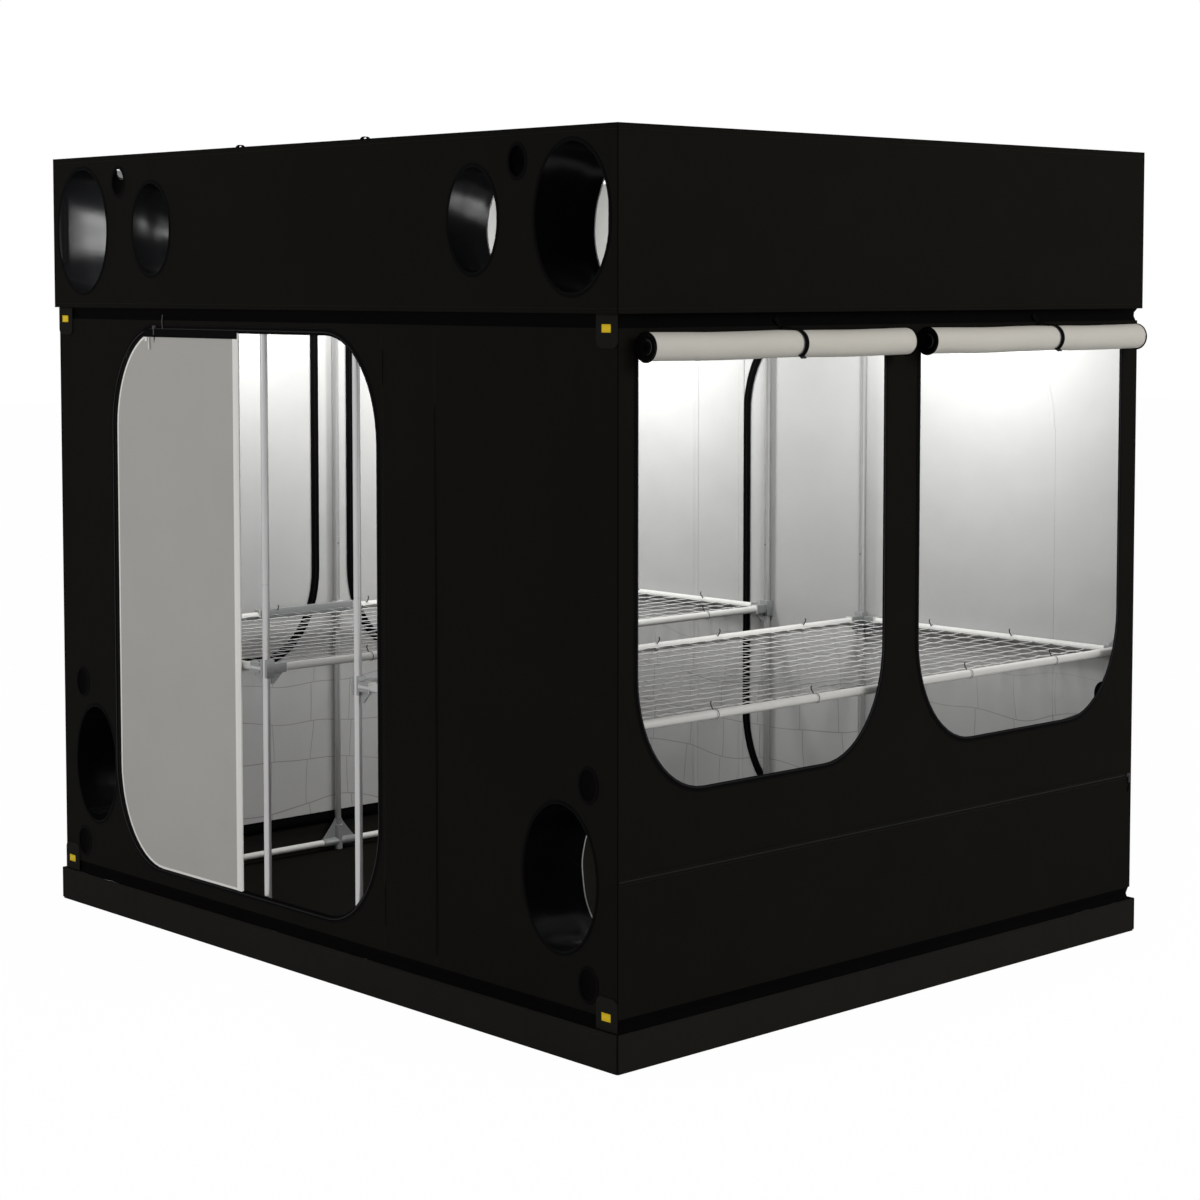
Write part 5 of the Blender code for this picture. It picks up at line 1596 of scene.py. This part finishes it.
def hook_outline(out_x, corner):
    """A bracket's outline round a post: open to the wall, and at a corner post to both walls."""
    mouth = math.pi / 2 - math.acos(HOOK_OPEN / HOOK_BORE)
    start = HOOK_CORNER if corner else mouth
    right = HOOK_OPEN if corner else HOOK_SIZE
    outline = [(-HOOK_SIZE, HOOK_OPEN), (-HOOK_SIZE, -HOOK_SIZE), (right, -HOOK_SIZE)]
    outline.append((right, -HOOK_BORE / 2 if corner else HOOK_OPEN))
    outline += [(HOOK_BORE * math.cos(turn), HOOK_BORE * math.sin(turn))
                for turn in turns(HOOK_STEPS, start, -math.pi - mouth - start, True)]
    return [(across * out_x, up) for across, up in outline]


def upright(shape, outline, centre, out_y, low, high):
    """An outline on the ground made into an upright solid with softened ends."""
    rings = []
    soft = HOOK_SOFT
    for height, share in ((low, HOOK_END_SHARE), (low + soft, 1), (high - soft, 1), (high, HOOK_END_SHARE)):
        rings.append([shape.verts.new((centre.x + x * share, centre.y + y * out_y * share, height))
                      for x, y in outline])
    solid(shape, rings)


def bracket(shape, post, side, ways):
    """A hook round a post, with a square socket, webs and a bolt toward each tube."""
    corner = abs(post.x) > POST_INNER_X * 2
    out_y = math.copysign(1, post.y)
    upright(shape, hook_outline(side, corner), post, out_y,
            TABLE_Z - HOOK_HALF_HEIGHT, TABLE_Z + HOOK_HALF_HEIGHT)
    length, width, height = BRACKET_SIZE
    for way in ways:
        toward = Vector((way[0], way[1] * out_y, 0))
        middle = post + toward * BRACKET_PLACE
        size, hand = (width, length, height), Vector((side, 0, 0))
        if way[0]:
            size, hand = (length, width, height), Vector((0, -out_y, 0))
            middle += hand * BRACKET_SHIFT
        block(shape, middle, size, BRACKET_EDGE)
        lip = [LIP_WIDTH if one else other + LIP_RISE for one, other in zip(toward, size)]
        block(shape, middle + toward * LIP_PLACE, lip, LIP_EDGE, 1)
        for lift in (-1, 1) if corner else (-1,):
            gusset(shape, post + UP * lift * WEB_LIFT + toward * WEB_START, toward, UP * lift, WEB)
        spot = middle + toward * BOLT_SHIFT
        tube(shape, [spot + hand * reach for reach in BOLT_ENDS], BOLT_RADII, 6)


def clip(shape, centre, inward):
    """A clip round a tube with a wire hook that holds the net's edge cord."""
    band, wire = ([centre + (UP * math.sin(turn) - inward * math.cos(turn)) * (TABLE_TUBE / 2 + lift)
                   for turn in turns(CLIP_STEPS, *CLIP_TURN, True)] for lift in CLIP_LIFTS)
    ribbon(shape, band, Vector((-inward.y, inward.x, 0)), CLIP_BAND, look=1)
    for reach, rise in CLIP_HOOK:
        wire.append(wire[-1] + inward * reach + UP * rise)
    tube(shape, wire, CLIP_WIRE, 8)


def build_tables():
    """The net tables: nets, tubes, the brackets that hook round the posts, a joiner and clips."""
    for side, name in ((-1, "left"), (1, "right")):
        body, node = "net_table_" + name, "table_frame_" + name
        build_net(side, name, body)
        tubes, brackets, clips = bmesh.new(), bmesh.new(), bmesh.new()
        inner, outer, corner = side * POST_INNER_X, side * TABLE_OUTER_X, side * POST_X
        end = POST_Y - POST_GAP
        runs = [((inner, -end), (inner, end)), ((outer, -POST_Y), (outer, POST_Y))]
        for y in (-POST_Y, POST_Y):
            runs.append(((inner + side * POST_GAP, y), (corner - side * POST_GAP, y)))
            bracket(brackets, Vector((inner, y, TABLE_Z)), side, ((side, 0), (0, -1)))
            bracket(brackets, Vector((corner, y, TABLE_Z)), side, ((-side, 0),))
        for start, finish in runs:
            tube_run(tubes, (*start, TABLE_Z), (*finish, TABLE_Z), TABLE_TUBE)
        if side < 0:
            for reach, along, size, edge, look in JOINER_BLOCKS:
                block(brackets, Vector((outer + side * reach, along, JOINER_Z)), size, edge, look)
        add_piece(f"table_tubes_{name}", tubes, "tube_white", (node,), body)
        add_piece(f"table_brackets_{name}", brackets, ["bracket_grey", "tube_white"],
                  (node,), body)
        for x, way in ((inner, side), (outer, -side)):
            for y in CLIP_PLACES:
                clip(clips, Vector((x, y, TABLE_Z)), Vector((way, 0, 0)))
        for y, way in ((-POST_Y, 1), (POST_Y, -1)):
            for share in CLIP_SHARES:
                clip(clips, Vector((inner + (outer - inner) * share, y, TABLE_Z)), Vector((0, way, 0)))
        add_piece(f"net_clips_{name}", clips, ["steel_black", "tube_white"], body=body)


def build_net(side, name, body):
    """An elastic net: wavy cords both ways, with calm ones at its edges."""
    low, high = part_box(f"table_net_{name}")
    reach = Vector((NET_REACH, NET_REACH, 0))
    low, high = low - reach, high + reach
    shape = bmesh.new()
    for way, (lines, crossed, margin, sway, drift, beat, rates, lead, thick) in enumerate(NET_WAYS):
        for line in range(lines + 1):
            calm = 0 if line in (0, lines) else 1
            fixed = margin + (1 - 2 * margin) * line / lines
            path = []
            for step in range(crossed * 3 + 1):
                along = step / (crossed * 3)
                a, b = (along, fixed) if way else (fixed, along)
                pull = sway * calm * math.sin(step * NET_BEAT + line * beat)
                pull += drift * calm * noise.noise((line * rates[0], along * rates[1], side))
                drop = NET_SAG * math.sin(math.pi * a) * math.sin(math.pi * b)
                drop += NET_PLAY * math.sin(step * NET_BEAT + line + lead)
                spot = [low.x + (high.x - low.x) * a, low.y + (high.y - low.y) * b, TABLE_Z - drop]
                spot[way] += pull
                path.append(Vector(spot))
            tube(shape, path, NET_CORD / 2 * thick, 6)
    add_piece(f"net_{name}", shape, "net_grey", (f"table_net_{name}",), body)


def lamp(name, place, target, size, power, colour):
    """A soft lamp aimed at a point."""
    made = bpy.data.lights.new(name, "AREA")
    made.shape = "RECTANGLE"
    made.size, made.size_y = size
    made.energy = power
    made.color = colour
    light = bpy.data.objects.new(name, made)
    light.location = place
    light.rotation_euler = (Vector(target) - Vector(place)).to_track_quat("-Z", "Y").to_euler()
    light.visible_camera = False
    bpy.context.scene.collection.objects.link(light)
    return light


def seen_directly(tree):
    """Whether a ray comes from the camera, a gloss or a clear surface."""
    path = add_node(tree, "LightPath")
    first = add_node(tree, "Math", operation="MAXIMUM")
    join(tree, path, "Is Camera Ray", first, 0)
    join(tree, path, "Is Glossy Ray", first, 1)
    both = add_node(tree, "Math", operation="MAXIMUM")
    join(tree, first, 0, both, 0)
    join(tree, path, "Is Transmission Ray", both, 1)
    return both


def floor_look():
    """A white floor that keeps a trace of the shadow."""
    made = bpy.data.materials.new("floor_white")
    made.use_nodes = True
    tree = made.node_tree
    shader = tree.nodes["Principled BSDF"]
    shader.inputs["Base Color"].default_value = FLOOR_TONE
    shader.inputs["Roughness"].default_value = FLOOR_ROUGHNESS
    glow = add_node(tree, "Emission", {"Color": (1, 1, 1, 1), "Strength": 1.0})
    mix = add_node(tree, "MixShader")
    share = add_node(tree, "Math", operation="MULTIPLY")
    share.inputs[1].default_value = FLOOR_GLOW_SHARE
    join(tree, seen_directly(tree), 0, share, 0)
    join(tree, share, 0, mix, "Fac")
    join(tree, shader, 0, mix, 1)
    join(tree, glow, 0, mix, 2)
    join(tree, mix, "Shader", tree.nodes["Material Output"], "Surface")
    return made


def build_floor():
    """The floor of the studio, which takes the light and the shadow."""
    mesh = bpy.data.meshes.new("floor")
    corners = ((-FLOOR_REACH, -FLOOR_REACH), (FLOOR_REACH, -FLOOR_REACH), (FLOOR_REACH, FLOOR_REACH),
               (-FLOOR_REACH, FLOOR_REACH))
    mesh.from_pydata([(*corner, FLOOR_Z) for corner in corners], [], [(0, 1, 2, 3)])
    mesh.materials.append(floor_look())
    floor = bpy.data.objects.new("floor", mesh)
    bpy.context.scene.collection.objects.link(floor)


def build_sky():
    """Soft light from all round, and plain white where the sky itself is seen."""
    world = bpy.data.worlds.new("studio")
    bpy.context.scene.world = world
    world.use_nodes = True
    tree = world.node_tree
    tree.nodes.clear()
    soft = add_node(tree, "Background", {"Color": SKY_COLOUR, "Strength": SKY_STRENGTH})
    white = add_node(tree, "Background", {"Color": (1, 1, 1, 1), "Strength": 1.0})
    mix = add_node(tree, "MixShader")
    join(tree, seen_directly(tree), 0, mix, "Fac")
    join(tree, soft, 0, mix, 1)
    join(tree, white, 0, mix, 2)
    join(tree, mix, "Shader", add_node(tree, "OutputWorld"), "Surface")


def build_stage():
    """A pale floor, a soft sky, lamps outside the tent and in its hood, and the camera."""
    scene = bpy.context.scene
    scene.view_settings.view_transform = "Standard"
    build_floor()
    build_sky()
    for settings in LAMPS:
        lamp(*settings)
    for index, (place, aim, power) in enumerate(HOOD_LAMPS):
        light = lamp(f"hood_lamp_{index + 1}", (*place, HOOD_LAMP_Z), (*aim, HOOD_LAMP_AIM_Z),
                     HOOD_LAMP_SIZE, power, HOOD_LAMP_COLOUR)
        light.visible_glossy = False
    made = bpy.data.cameras.new("camera")
    made.lens = LENS
    made.sensor_width = SENSOR
    made.shift_y = -SHIFT_DOWN
    camera = bpy.data.objects.new("camera", made)
    scene.collection.objects.link(camera)
    camera.location = CAMERA_PLACE
    camera.rotation_euler = CAMERA_TURN
    scene.camera = camera


def light_sleeves():
    """Small soft lamps in the hood that give the port sleeves their gloss, and light nothing else."""
    for node, place, target, size, power in HOOD_GLEAMS:
        lit = bpy.data.collections.new(node + "_lit")
        lit.objects.link(bpy.data.objects[node + "_cloth"])
        gleam = lamp(node + "_gleam", place, target, size, power, (1, 1, 1))
        gleam.light_linking.receiver_collection = lit


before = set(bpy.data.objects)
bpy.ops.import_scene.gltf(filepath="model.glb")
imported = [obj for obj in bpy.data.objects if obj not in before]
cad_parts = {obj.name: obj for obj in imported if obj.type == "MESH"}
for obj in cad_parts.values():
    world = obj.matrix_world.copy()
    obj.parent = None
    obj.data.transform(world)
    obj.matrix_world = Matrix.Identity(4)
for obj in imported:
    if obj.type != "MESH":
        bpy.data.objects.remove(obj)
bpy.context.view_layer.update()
build_stage()
make_looks()
build_walls()
build_hood()
build_tray_and_bands()
build_edges()
build_seams()
build_port_rims()
build_sleeves()
build_cuffs()
build_opening_edges()
build_inner_tapes()
build_front_door()
build_closed_flaps()
build_seams_at_hinges()
build_fold_seam()
build_rolls()
build_straps()
build_tabs()
build_side_zips()
build_sliders()
build_small_fittings()
build_posts()
build_rails()
build_tables()
light_sleeves()
